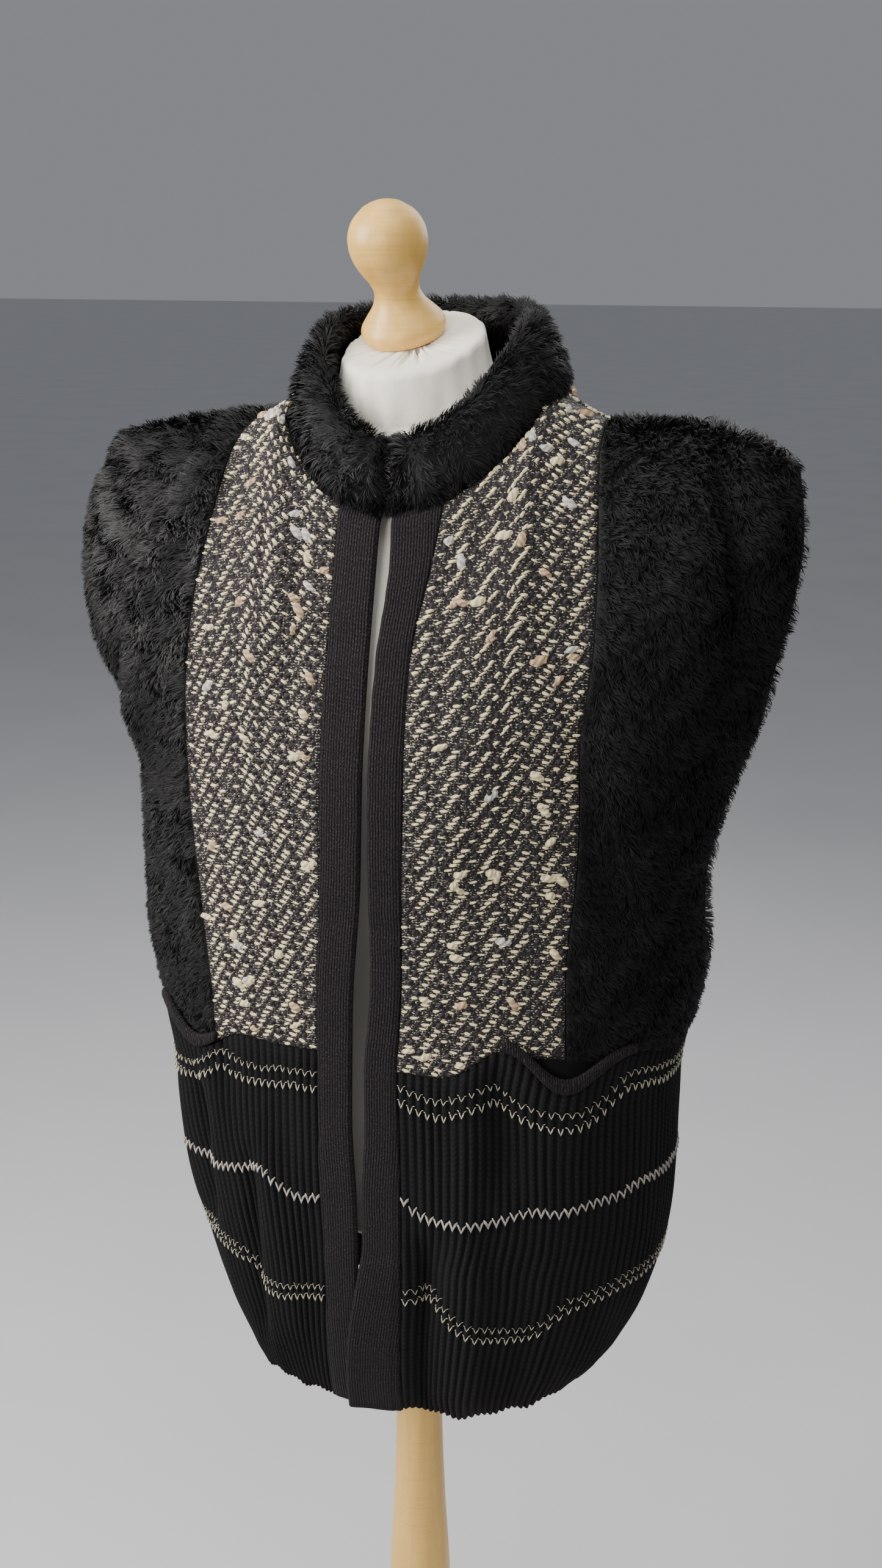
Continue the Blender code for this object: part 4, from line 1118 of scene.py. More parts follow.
class Weave:
    """The straight warps and wefts of the woven cloth, as they lie on the body."""

    def __init__(self, face: Face, low: float = 0.935, reach: float = 0.170) -> None:
        """Measures the cloth up its warps.

        Args:
            face: Front or back of the body.
            low: Level from which lengths are measured.
            reach: Furthest x on either side.
        """
        self.levels = np.linspace(low, LEVEL_TOP, 190)
        self.x = np.linspace(-reach, reach, 120)
        x, level = np.meshgrid(self.x, self.levels, indexing="ij")
        points = CLOTH.point(CLOTH.angle_at(x, level, face is Face.BACK), level)
        self.lengths = np.array([run_length(column) for column in points])
        self.tallest = float(self.lengths.max())
        middle = points[:, np.searchsorted(self.levels, 1.10)]
        self.across = run_length(middle) - np.interp(0.0, self.x, run_length(middle))
        self.up = np.linspace(0, self.tallest, 260)
        self.level_at = np.array([np.interp(self.up, column, self.levels, right=np.nan)
                                  for column in self.lengths])

    def blend(self, grid: Array, x: Array, keys: Array, value: Array) -> Array:
        """Reads a grid between its rows of x and its columns of keys."""
        u = np.clip(np.interp(x, self.x, np.arange(len(self.x))), 0, len(self.x) - 1.001)
        v = np.clip(np.interp(value, keys, np.arange(len(keys))), 0, len(keys) - 1.001)
        i, j = u.astype(int), v.astype(int)
        a, b = u - i, v - j
        low = grid[i, j] * (1 - a) + grid[i + 1, j] * a
        high = grid[i, j + 1] * (1 - a) + grid[i + 1, j + 1] * a
        return low * (1 - b) + high * b

    def find(self, across: Array, up: Array) -> tuple[Array, Array]:
        """Gives the x and level at lengths across and up; no number where the cloth has ended."""
        x = np.interp(across, self.across, self.x)
        return x, self.blend(self.level_at, x, self.up, up)

    def measure(self, x: Array, level: Array) -> tuple[Array, Array]:
        """Gives the lengths across and up at places."""
        return np.interp(x, self.x, self.across), self.blend(self.lengths, x, self.levels, level)


WEAVES = {face: Weave(face) for face in Face}


@dataclass
class TweedPanels:
    """The tweed fronts and back: a dark ground with raised yarns and slubs."""

    thickness: float = 0.003
    row: float = 0.0039
    pitch: float = 0.0112
    shift: float = 0.0027
    margin: float = 0.0019
    lean: float = 0.06
    # Yarn, place across and up the repeat, rows that have it, half length, half height, rise
    marks: tuple = ((0, 0.0, 0.0, (0, 1), 0.0029, 0.00130, 0.0020),
                    (0, 0.0, 0.0, (3,), 0.0026, 0.00100, 0.0018),
                    (1, -0.04, 0.0, (2,), 0.0021, 0.00300, 0.0022),
                    (1, 0.50, 0.10, (0, 1, 2, 3), 0.0013, 0.00220, 0.0014),
                    (2, 0.31, 0.38, (0, 1, 2, 3), 0.00060, 0.00085, 0.0015))
    back_marks: int = 4
    cycle: int = 4
    kept_share: float = 0.95
    front_slubs: int = 50
    back_slubs: int = 90
    # Places along a yarn with its girth there, and the turns round it
    along: tuple = (-1.0, -0.72, 0.0, 0.72, 1.0)
    girth: tuple = (0.25, 0.80, 1.0, 0.80, 0.25)
    turns: tuple = (0, 90, 180)

    @property
    def yarn_faces(self) -> int:
        """Number of faces on one yarn."""
        return (len(self.along) - 1) * (len(self.turns) - 1)

    def panel(self, face: Face, side: Side) -> Panel:
        """Makes a panel's grid."""
        if face is Face.FRONT:
            return make_panel(band_edge(side, "out"), fur_seam(side, face, -FUR_SEAM_GAP), 40, 90, False)
        right = fur_seam(Side.RIGHT, face, -FUR_SEAM_GAP)
        return make_panel(lambda levels: right(levels) + 2 * math.pi,
                          fur_seam(Side.LEFT, face, -FUR_SEAM_GAP), 80, 70, True)

    def yarns(self, face: Face, side: Side, seed: int) -> tuple[Array, ...]:
        """Places the yarns that show, row by row.

        Args:
            face: Front or back.
            side: Side of the body, for a front.
            seed: Number that picks their small differences.

        Returns:
            Angles, levels, kinds, half lengths, half heights, rises and turns.
        """
        random = np.random.default_rng(seed)
        weave = WEAVES[face]
        row, column = np.meshgrid(np.arange(int(weave.tallest / self.row)), np.arange(-18, 19), indexing="ij")
        row, column = row.ravel(), column.ravel()
        slant = self.shift if face is Face.FRONT else -self.shift
        across = column * self.pitch + (row * slant) % self.pitch
        found = []
        marks = self.marks if face is Face.FRONT else self.marks[:self.back_marks]
        for kind, place, rise, rows, half, tall, proud in marks:
            in_rows = np.isin((row + 2 * column) % self.cycle, rows)
            keep = in_rows & (random.random(len(row)) < self.kept_share)
            s = across + place * self.pitch + random.normal(scale=0.0004, size=len(row))
            t = (row + 0.5 + rise) * self.row + random.normal(scale=0.0003, size=len(row))
            x, level = weave.find(s, t)
            keep &= self.is_inside(face, side, x, level)
            count = keep.sum()
            wobble = 0.12 if half > tall else 0.3
            found.append(np.stack((x[keep], level[keep], np.full(count, kind),
                                   half * random.uniform(0.78, 1.18, count),
                                   tall * random.uniform(0.82, 1.18, count),
                                   proud * random.uniform(0.75, 1.25, count),
                                   random.normal(scale=wobble, size=count) - self.lean), axis=1))
        x, level, kind, half, tall, rise, turn = np.concatenate(found).T
        kind = kind.astype(int)
        angle = CLOTH.angle_at(x, level, face is Face.BACK)
        return angle, level, kind, half, tall, rise, turn

    def is_inside(self, face: Face, side: Side, x: Array, level: Array) -> Array:
        """Tells which places lie on a panel, clear of its edges."""
        safe = np.where(np.isnan(level), WELT_LEVEL, level)
        if face is Face.BACK:
            low = -FUR_SEAM.read("right_back", safe)
            high = FUR_SEAM.read("left_back", safe)
        else:
            band = BAND.read(side.word + "_out", safe)
            seam = side.value * FUR_SEAM.read(side.word, safe)
            low, high = (band, seam) if side is Side.LEFT else (seam, band)
        bottom = CLOTH.panel_bottom(x, face is Face.BACK)
        inside = (x > low + self.margin) & (x < high - self.margin)
        return inside & ~np.isnan(level) & (safe > bottom + self.margin) & (safe < LEVEL_TOP - 0.001)

    def slubs(self, panel: Panel, count: int, seed: int) -> tuple[Array, ...]:
        """Scatters slubs, in the same form as the yarns."""
        random = np.random.default_rng(seed)
        angle, level, across, _ = scatter(panel, count, seed)
        keep = (across > 0.03) & (across < 0.97)
        angle, level = angle[keep], level[keep]
        count = len(angle)
        kind = random.choice((3, 4, 5), count, p=(0.48, 0.38, 0.14))
        half = random.uniform(0.0036, 0.0066, count)
        tall = random.uniform(0.0024, 0.0038, count)
        rise = random.uniform(0.0028, 0.0044, count)
        return angle, level, kind, half, tall, rise, random.normal(scale=0.5, size=count)

    def lumps(self, name: str, angle: Array, level: Array, kind: Array, half: Array,
              tall: Array, rise: Array, turn: Array) -> bpy.types.Object:
        """Makes a short arched length of yarn at every place.

        Args:
            name: Name of the piece.
            angle: Angles of the middles.
            level: Levels of the middles.
            kind: Number of each yarn's finish.
            half: Half lengths.
            tall: Half heights.
            rise: Heights above the ground.
            turn: Turns from level, in radians.

        Returns:
            One object with all of them.
        """
        across, up, out = CLOTH.frame_at(angle, level)
        along_axis = across * np.cos(turn)[:, None] + up * np.sin(turn)[:, None]
        wide_axis = np.cross(out, along_axis)
        base = CLOTH.point(angle, level) + out * (self.thickness / 2 - 0.0002)
        along = np.array(self.along)
        swell = np.array(self.girth)
        turns = np.radians(self.turns)
        stations, sides = len(along), len(turns)
        a = (along[None, :, None] * half[:, None, None]) * np.ones(sides)
        b = tall[:, None, None] * swell[None, :, None] * np.cos(turns)
        c = rise[:, None, None] * swell[None, :, None] * np.sin(turns)
        points = (base[:, None, None, :] + along_axis[:, None, None, :] * a[..., None]
                  + wide_axis[:, None, None, :] * b[..., None] + out[:, None, None, :] * c[..., None])
        one = grid_faces(stations, sides)[:, ::-1]
        faces = (np.arange(len(angle))[:, None, None] * stations * sides + one[None]).reshape(-1, 4)
        cell = (kind[:, None, None] + np.linspace(0.02, 0.98, stations)[None, :, None]) / YARN_CELLS
        around = np.linspace(0.02, 0.98, sides)[None, None, :]
        uv = np.stack(np.broadcast_arrays(cell, around), axis=-1).reshape(-1, 2)
        slots = np.repeat(kind, self.yarn_faces)
        made = new_object(name, points.reshape(-1, 3), (faces,), uv, "OFBake", slots)
        for finish in YARNS:
            made.data.materials.append(yarn_material(finish))
        return made

    def build(self, face: Face, side: Side, seed: int) -> None:
        """Builds one panel: its ground, its yarns and its slubs."""
        name = f"front_tweed_{side.word}" if face is Face.FRONT else "back_tweed"
        panel = self.panel(face, side)
        half = np.full(panel.level.shape, self.thickness / 2)
        x = CLOTH.point(panel.angle, panel.level)[..., 0]
        across, up = WEAVES[face].measure(x, panel.level)
        ground = wall(f"{name}_ground", CLOTH.offset(panel.angle, panel.level, half),
                      CLOTH.offset(panel.angle, panel.level, -half), across, up)
        ground.data.materials.append(TweedGround().material())
        yarns = self.lumps(f"{name}_yarns", *self.yarns(face, side, seed))
        count = self.front_slubs if face is Face.FRONT else self.back_slubs
        slubs = self.lumps(f"{name}_slubs", *self.slubs(panel, count, seed + 7))
        dress(name, "boucle_tweed", ground, yarns, slubs)
        panel.cut
        fit_area(panel)
        LOG.info("%s: %d yarns", name, len(yarns.data.polygons) // self.yarn_faces)


YARNS = (
    YarnFinish("yarn_cream", (0.88, 0.80, 0.52), (0.60, 0.49, 0.26), 0.62, 1.5),
    YarnFinish("yarn_warp", (0.030, 0.023, 0.027), (0.010, 0.007, 0.009), 0.8, 1.5),
    YarnFinish("yarn_tick", (0.66, 0.60, 0.48), (0.24, 0.20, 0.15), 0.5, 2.5),
    YarnFinish("slub_cream", (0.74, 0.66, 0.42), (0.52, 0.43, 0.24), 0.8, 3.5),
    YarnFinish("slub_beige", (0.55, 0.39, 0.25), (0.34, 0.22, 0.13), 0.8, 3.5),
    YarnFinish("slub_grey", (0.55, 0.52, 0.49), (0.34, 0.31, 0.29), 0.8, 3.5))
MADE_YARNS: dict[str, bpy.types.Material] = {}


def yarn_material(finish: YarnFinish) -> bpy.types.Material:
    """Gives a yarn finish's material, made once."""
    if finish.name not in MADE_YARNS:
        MADE_YARNS[finish.name] = finish.material()
    return MADE_YARNS[finish.name]


@dataclass
class FrontBands:
    """The two upright bands of double knit at the front opening."""

    proud: float = 0.0030
    backing: float = 0.001
    lap: float = 0.0066
    rows: int = 110
    columns: int = 22

    def build(self, side: Side) -> None:
        """Builds one band, from the hem to the collar."""
        name = f"front_band_{side.word}"
        levels = np.linspace(LEVEL_HEM, LEVEL_TOP, self.rows)
        first = band_edge(side, "in")(levels)
        last = CLOTH.angle_at(BAND.read(side.word + "_out", levels), levels)
        share = np.linspace(0, 1, self.columns)
        angle = first[:, None] + (last - first)[:, None] * share
        level = np.broadcast_to(levels[:, None], angle.shape)
        over = np.zeros(angle.shape)
        if side is Side.LEFT:
            over = self.lap * (1 - ease(levels, 0.755, 0.800))[:, None] * (1 - share) ** 1.2
        body = np.clip(1 - np.abs(2 * share - 1) ** 7, 0.0, 1.0) ** 0.5
        stitch = np.exp(-((share - 0.88) / 0.028) ** 2) * 0.0009
        height = 0.0012 + (self.proud - 0.0010) * body - stitch
        points = CLOTH.point(angle, level)
        pucker = ripple(points * np.array((1.0, 1.0, 2.2)), 0.045, SEED + side.value) * 0.0005
        outside = CLOTH.offset(angle, level, height[None, :] + over + pucker)
        inside = CLOTH.offset(angle, level, over - self.backing)
        across = run_across(points)
        up = np.broadcast_to(run_length(points[:, 0])[:, None], across.shape)
        if side is Side.RIGHT:
            outside, inside, across = outside[:, ::-1], inside[:, ::-1], across[:, ::-1]
        band = wall(f"{name}_knit", outside, inside, across, up)
        band.data.materials.append(BAND_MATERIAL())
        dress(name, "band_knit", band)
        panel = Panel(angle, level, across, up)
        panel.cut
        fit_area(panel)
        LOG.info("%s built", name)


def once(make: Callable[[], bpy.types.Material]) -> Callable[[], bpy.types.Material]:
    """Gives a function that makes a material at its first call and keeps it."""
    kept: list[bpy.types.Material] = []

    def get() -> bpy.types.Material:
        if not kept:
            kept.append(make())
        return kept[0]

    return get


BAND_MATERIAL = once(BandKnit().material)
PILE_MATERIAL = once(PileFinish().material)
BACKING_MATERIAL = once(PileBacking().material)
RIB_MATERIAL = once(RibKnit().material)
WOOD_MATERIAL = once(PaleWood().material)


@dataclass(frozen=True)
class Stripe:
    """A stripe of bright stitches round the welt, some way below a line of the table."""

    line: str
    below: float
    hold: Hold
    tall: float
    thick: float


@dataclass
class Welts:
    """The ribbed welts of both fronts and the back, with their stripes."""

    front_ribs: int = 38
    back_ribs: int = 84
    steps_per_rib: int = 6
    rows: int = 30
    groove: float = 0.0006
    crest: float = 0.0027
    inside: float = 0.0010
    pocket_open: float = 0.0075
    hem_wave: float = 0.0016
    vee: tuple = ((-0.25, 0.5, 0.0030), (-0.14, 0.05, 0.0034), (0.0, -0.5, 0.0036),
                  (0.14, 0.05, 0.0034), (0.25, 0.5, 0.0030))
    dashes: tuple = (((-0.50, 0.60, 0.0012), (-0.44, 0.62, 0.0016), (-0.38, 0.63, 0.0021),
                      (-0.32, 0.62, 0.0025), (-0.26, 0.58, 0.0028)),
                     ((0.26, 0.58, 0.0028), (0.32, 0.62, 0.0025), (0.38, 0.63, 0.0021),
                      (0.44, 0.62, 0.0016), (0.50, 0.60, 0.0012)))
    arch: tuple = ((-0.50, 0.50, 0.0014), (-0.24, 0.20, 0.0027), (0.0, -0.50, 0.0036),
                   (0.24, 0.20, 0.0027), (0.50, 0.50, 0.0014))
    stripes: tuple[Stripe, ...] = (
        Stripe("high", 0.0, Hold.FINE, 0.0036, 0.0008),
        Stripe("high", 0.0130, Hold.FINE, 0.0047, 0.0011),
        Stripe("mid", 0.0, Hold.THICK, 0.0066, 0.0017),
        Stripe("low", 0.0, Hold.FINE, 0.0032, 0.0007),
        Stripe("low", 0.0098, Hold.FINE, 0.0042, 0.0010))

    def pocket_bulge(self, x: Array, level: Array, top: Array) -> Array:
        """Gives how far the welt stands off the body at the pocket's mouth."""
        share = np.abs(x) / per_side(BODY, level, x > 0)
        start = np.where(x > 0, POCKET[Side.LEFT][0], POCKET[Side.RIGHT][0])
        end = np.where(x > 0, POCKET[Side.LEFT][1], POCKET[Side.RIGHT][1])
        along = np.clip((share - start) / (end - start), 0.0, 1.0)
        return self.pocket_open * np.sin(along * math.pi) ** 0.6 * ease(level, top - 0.075, top)

    def build(self, name: str, start: Callable, end: Callable, ribs: int, is_back: bool) -> None:
        """Builds one welt and its stripes.

        Args:
            name: Name of the node that it stands for.
            start: Function from levels to the angles of the first edge.
            end: The same for the last edge.
            ribs: Number of ribs.
            is_back: True for the back.
        """
        columns = ribs * self.steps_per_rib + 1
        shares = np.linspace(0, 1, self.rows)
        mid_levels = LEVEL_HEM + (WELT_LEVEL - LEVEL_HEM) * shares
        angle = np.array([CLOTH.spread(a, b, level, columns)
                          for a, b, level in zip(start(mid_levels), end(mid_levels), mid_levels)])
        if angle[0, -1] < angle[0, 0]:
            angle = angle[:, ::-1]
        top = CLOTH.welt_top(CLOTH.point(angle[-1], mid_levels[-1])[:, 0], is_back)
        level = LEVEL_HEM + (top[None, :] - LEVEL_HEM) * shares[:, None]
        points = CLOTH.point(angle, level)
        bulge = np.zeros(level.shape) if is_back else self.pocket_bulge(points[..., 0], level, top[None, :])
        rib = np.arange(columns) / self.steps_per_rib
        ridge = np.abs(np.sin(np.pi * rib)) ** 1.25
        wander = 1 + 0.22 * ripple(points * np.array((1.0, 1.0, 0.35)), 0.03, SEED + 11)
        ribbed = self.groove + (self.crest - self.groove) * ridge[None, :] * wander
        hem_roll = -0.0012 * (1 - ease(shares, 0.0, 0.02))[:, None]
        wave = np.sin(rib * 1.15) + 0.7 * np.sin(rib * 0.55)
        level = level + self.hem_wave * wave[None, :] * (1 - shares[:, None]) ** 6
        outside = CLOTH.offset(angle, level, bulge + ribbed + hem_roll)
        inside = CLOTH.offset(angle, level, bulge - self.inside)
        up = np.broadcast_to(run_length(points[:, columns // 2])[:, None], level.shape)
        number = np.broadcast_to(rib[None, :], level.shape)
        welt = wall(f"{name}_knit", outside, inside, number, up)
        welt.data.materials.append(RIB_MATERIAL())
        stitches = self.stitches(f"{name}_stripes", angle, level, bulge, ribs, is_back)
        dress(name, "rib_knit", welt, stitches)
        across = run_across(points)
        panel = Panel(angle, level, across, up)
        panel.cut
        fit_area(panel)
        LOG.info("%s: %d ribs", name, ribs)

    def stitches(self, name: str, angle: Array, level: Array, bulge: Array, ribs: int,
                 is_back: bool) -> bpy.types.Object:
        """Makes the stripes' V stitches, one on every rib, and the dashes between them."""
        random = np.random.default_rng(SEED + ribs)
        lines: list[Array] = []
        radii: list[float] = []
        kinds: list[int] = []
        for stripe in self.stripes:
            for k in range(ribs):
                centre = (k + 0.5) * self.steps_per_rib
                column = int(centre)
                at = self.stripe_level(stripe, angle[:, column], is_back) + random.normal(scale=0.00035)
                tall = stripe.tall * random.uniform(0.85, 1.15)
                if stripe.hold is Hold.THICK:
                    marks = self.arch
                else:
                    marks = self.vee
                    for dash in self.dashes:
                        if random.random() < 0.85:
                            lines.append(self.line_on(angle, level, bulge, centre, column, at, tall, dash))
                            radii.append(stripe.thick * 0.36)
                            kinds.append(0)
                lines.append(self.line_on(angle, level, bulge, centre, column, at, tall, marks))
                radii.append(stripe.thick / 2)
                kinds.append(1 if stripe.hold is Hold.THICK else 0)
                if stripe.hold is Hold.THICK:
                    for _ in range(2):
                        beside = at + random.normal(scale=0.0006) + 0.0004
                        lines.append(self.line_on(angle, level, bulge, centre, column, beside,
                                                  tall * random.uniform(0.55, 0.9), marks))
                        radii.append(stripe.thick * random.uniform(0.2, 0.34))
                        kinds.append(random.integers(0, 2))
        made = tubes(name, np.array(lines), np.array(radii), 5, np.array(kinds))
        for finish in (YarnFinish("stripe_cream", (0.72, 0.67, 0.52), (0.36, 0.32, 0.22), 0.55, 2.0),
                       YarnFinish("stripe_grey", (0.50, 0.45, 0.40), (0.27, 0.24, 0.22), 0.8, 2.0)):
            made.data.materials.append(yarn_material(finish))
        return made

    def stripe_level(self, stripe: Stripe, angles: Array, is_back: bool) -> float:
        """Gives a stripe's level on one rib; the back keeps the level of the side seams."""
        x = CLOTH.point(angles[len(angles) // 2], 0.80)[0]
        side = Side.LEFT if x > 0 else Side.RIGHT
        share = abs(x) / BODY.read(side.word, 0.80)
        column = f"{side.word}_{stripe.line}"
        if is_back:
            level = STRIPES.read(column, 1.0) + 0.0012 * math.sin(share * 17 + 40 * stripe.below)
        else:
            level = STRIPES.read(column, share)
        return float(level) - stripe.below

    def line_on(self, angle: Array, level: Array, bulge: Array, centre: float, column: int,
                at: float, tall: float, marks: Sequence[tuple[float, float, float]]) -> Array:
        """Gives a short line on the ribs, from marks of rib share, height share and stand-off."""
        levels = level[:, column]
        row = np.interp(at, levels, np.arange(len(levels)))
        low = int(min(row, len(levels) - 2))
        here = angle[low] * (1 - (row - low)) + angle[low + 1] * (row - low)
        bulges = bulge[low] * (1 - (row - low)) + bulge[low + 1] * (row - low)
        mark = np.array(marks)
        columns = centre + mark[:, 0] * self.steps_per_rib
        angles = np.interp(columns, np.arange(len(here)), here)
        off = np.interp(columns, np.arange(len(here)), bulges) + mark[:, 2]
        return CLOTH.offset(angles, at + mark[:, 1] * tall, off)


def tubes(name: str, lines: Array, radii: Array, corners: int,
          kinds: Array | None = None) -> bpy.types.Object:
    """Makes a thin closed tube along each of many short lines.

    Args:
        name: Name of the object.
        lines: Lines of points, all with the same number.
        radii: Radius of each tube.
        corners: Number of sides.
        kinds: Material slot of each tube.

    Returns:
        One object with all tubes.
    """
    count, stations = lines.shape[:2]
    ahead = unit(np.gradient(lines, axis=1))
    guide = unit(np.cross(ahead, np.array((0.13, 0.21, 0.97))))
    other = np.cross(ahead, guide)
    turns = round_turns(corners)
    taper = np.ones(stations)
    taper[[0, -1]] = 0.55
    ring = (guide[:, :, None, :] * np.cos(turns)[None, None, :, None]
            + other[:, :, None, :] * np.sin(turns)[None, None, :, None])
    points = lines[:, :, None, :] + ring * (radii[:, None, None, None] * taper[None, :, None, None])
    one = grid_faces(stations, corners, is_closed=True)
    size = stations * corners
    faces = (np.arange(count)[:, None, None] * size + one[None]).reshape(-1, 4)
    caps = end_caps(corners, size)
    caps = (np.arange(count)[:, None, None] * size + caps[None]).reshape(-1, corners)
    kinds = np.zeros(count, int) if kinds is None else kinds
    cell = (kinds[:, None, None] + np.linspace(0.02, 0.98, stations)[None, :, None]) / YARN_CELLS
    around = 0.02 + 0.96 * np.abs(np.linspace(-1, 1, corners))[None, None, :]
    uv = np.stack(np.broadcast_arrays(cell, around), axis=-1).reshape(-1, 2)
    slots = np.concatenate((np.repeat(kinds, len(one)), np.repeat(kinds, 2)))
    return new_object(name, points.reshape(-1, 3), (faces, caps), uv, "OFBake", slots)


@dataclass
class Pockets:
    """The rolled bindings of the pocket mouths, and the pockets' inner walls."""

    half_thickness: float = 0.0034
    half_height: float = 0.0062
    pile_at_welt: float = 0.0020
    lining_top: float = 0.998
    lining_low: float = 0.840
    stations: int = 90
    corners: int = 20

    def binding(self, side: Side, welts: Welts) -> None:
        """Builds the rolled edge of one pocket's mouth."""
        start, end = POCKET[side]
        share = np.linspace(start + 0.005, end - 0.005, self.stations)
        x = side.value * share * BODY.read(side.word, WELT_LEVEL)
        level = CLOTH.welt_top(x, False)
        angle = CLOTH.angle_at(x, np.full(self.stations, WELT_LEVEL))
        proud = np.maximum(welts.pocket_bulge(CLOTH.point(angle, level)[:, 0], level, level) + 0.0008,
                           self.pile_at_welt + 0.0039)
        seat = level + 0.0055
        centre = CLOTH.offset(angle, seat, proud)
        out = CLOTH.frame_at(angle, seat)[2] * np.array((1.0, 1.0, 0.0))
        out = unit(out)
        taper = np.sin(np.linspace(0.25, math.pi - 0.25, self.stations)) ** 0.35
        along = run_length(centre)
        lump = 1 + 0.10 * np.sin(along / 0.0021 * math.pi)[:, None] * 0.35
        turn = round_turns(self.corners)
        round_out = np.sign(np.cos(turn)) * np.abs(np.cos(turn)) ** 0.85
        thick = self.half_thickness * taper[:, None] * round_out * lump
        high = self.half_height * taper[:, None] * np.sin(turn) * lump
        points = (centre[:, None, :] + out[:, None, :] * thick[..., None]
                  + np.array((0, 0, 1.0)) * high[..., None])
        size = self.stations * self.corners
        faces = grid_faces(self.stations, self.corners, is_closed=True)
        caps = end_caps(self.corners, size)
        if side is Side.LEFT:
            faces, caps = faces[:, ::-1], caps[:, ::-1]
        around = np.abs(np.linspace(-1, 1, self.corners)) * 0.012
        uv = np.stack(np.broadcast_arrays(along[:, None], around[None, :]), axis=-1).reshape(-1, 2)
        name = f"pocket_binding_{side.word}"
        made = new_object(f"{name}_knit", points.reshape(-1, 3), (faces, caps), uv)
        made.data.materials.append(BAND_MATERIAL())
        dress(name, "band_knit", made)
        LOG.info("%s built", name)

    def lining(self, side: Side) -> None:
        """Builds the inner wall of one pocket."""
        levels = np.linspace(self.lining_low, self.lining_top, 26)
        start, end = POCKET[side]
        half = BODY.read(side.word, levels)
        narrow = 0.06 * (1 - ease(levels, self.lining_low, 0.92))
        a = CLOTH.angle_at(side.value * half * (start - 0.03 + narrow), levels)
        b = CLOTH.angle_at(side.value * half * (end - 0.02 - narrow), levels)
        angle = np.array([CLOTH.spread(p, q, level, 30) for p, q, level in zip(a, b, levels)])
        if angle[0, -1] < angle[0, 0]:
            angle = angle[:, ::-1]
        level = np.broadcast_to(levels[:, None], angle.shape)
        sag = ease(level, self.lining_low, 0.90) * (1 - ease(level, 0.955, self.lining_top))
        slack = 0.0024 + 0.0045 * sag
        points = CLOTH.point(angle, level)
        across = run_across(points)
        up = np.broadcast_to(run_length(points[:, 0])[:, None], across.shape)
        name = f"pocket_lining_{side.word}"
        made = wall(f"{name}_cloth", CLOTH.offset(angle, level, -slack),
                    CLOTH.offset(angle, level, -slack - 0.0012), across, up)
        made.data.materials.append(PocketCloth().material())
        dress(name, "pocket_cloth", made)
        panel = Panel(angle, level, across, up)
        panel.cut
        fit_area(panel)
        LOG.info("%s built", name)


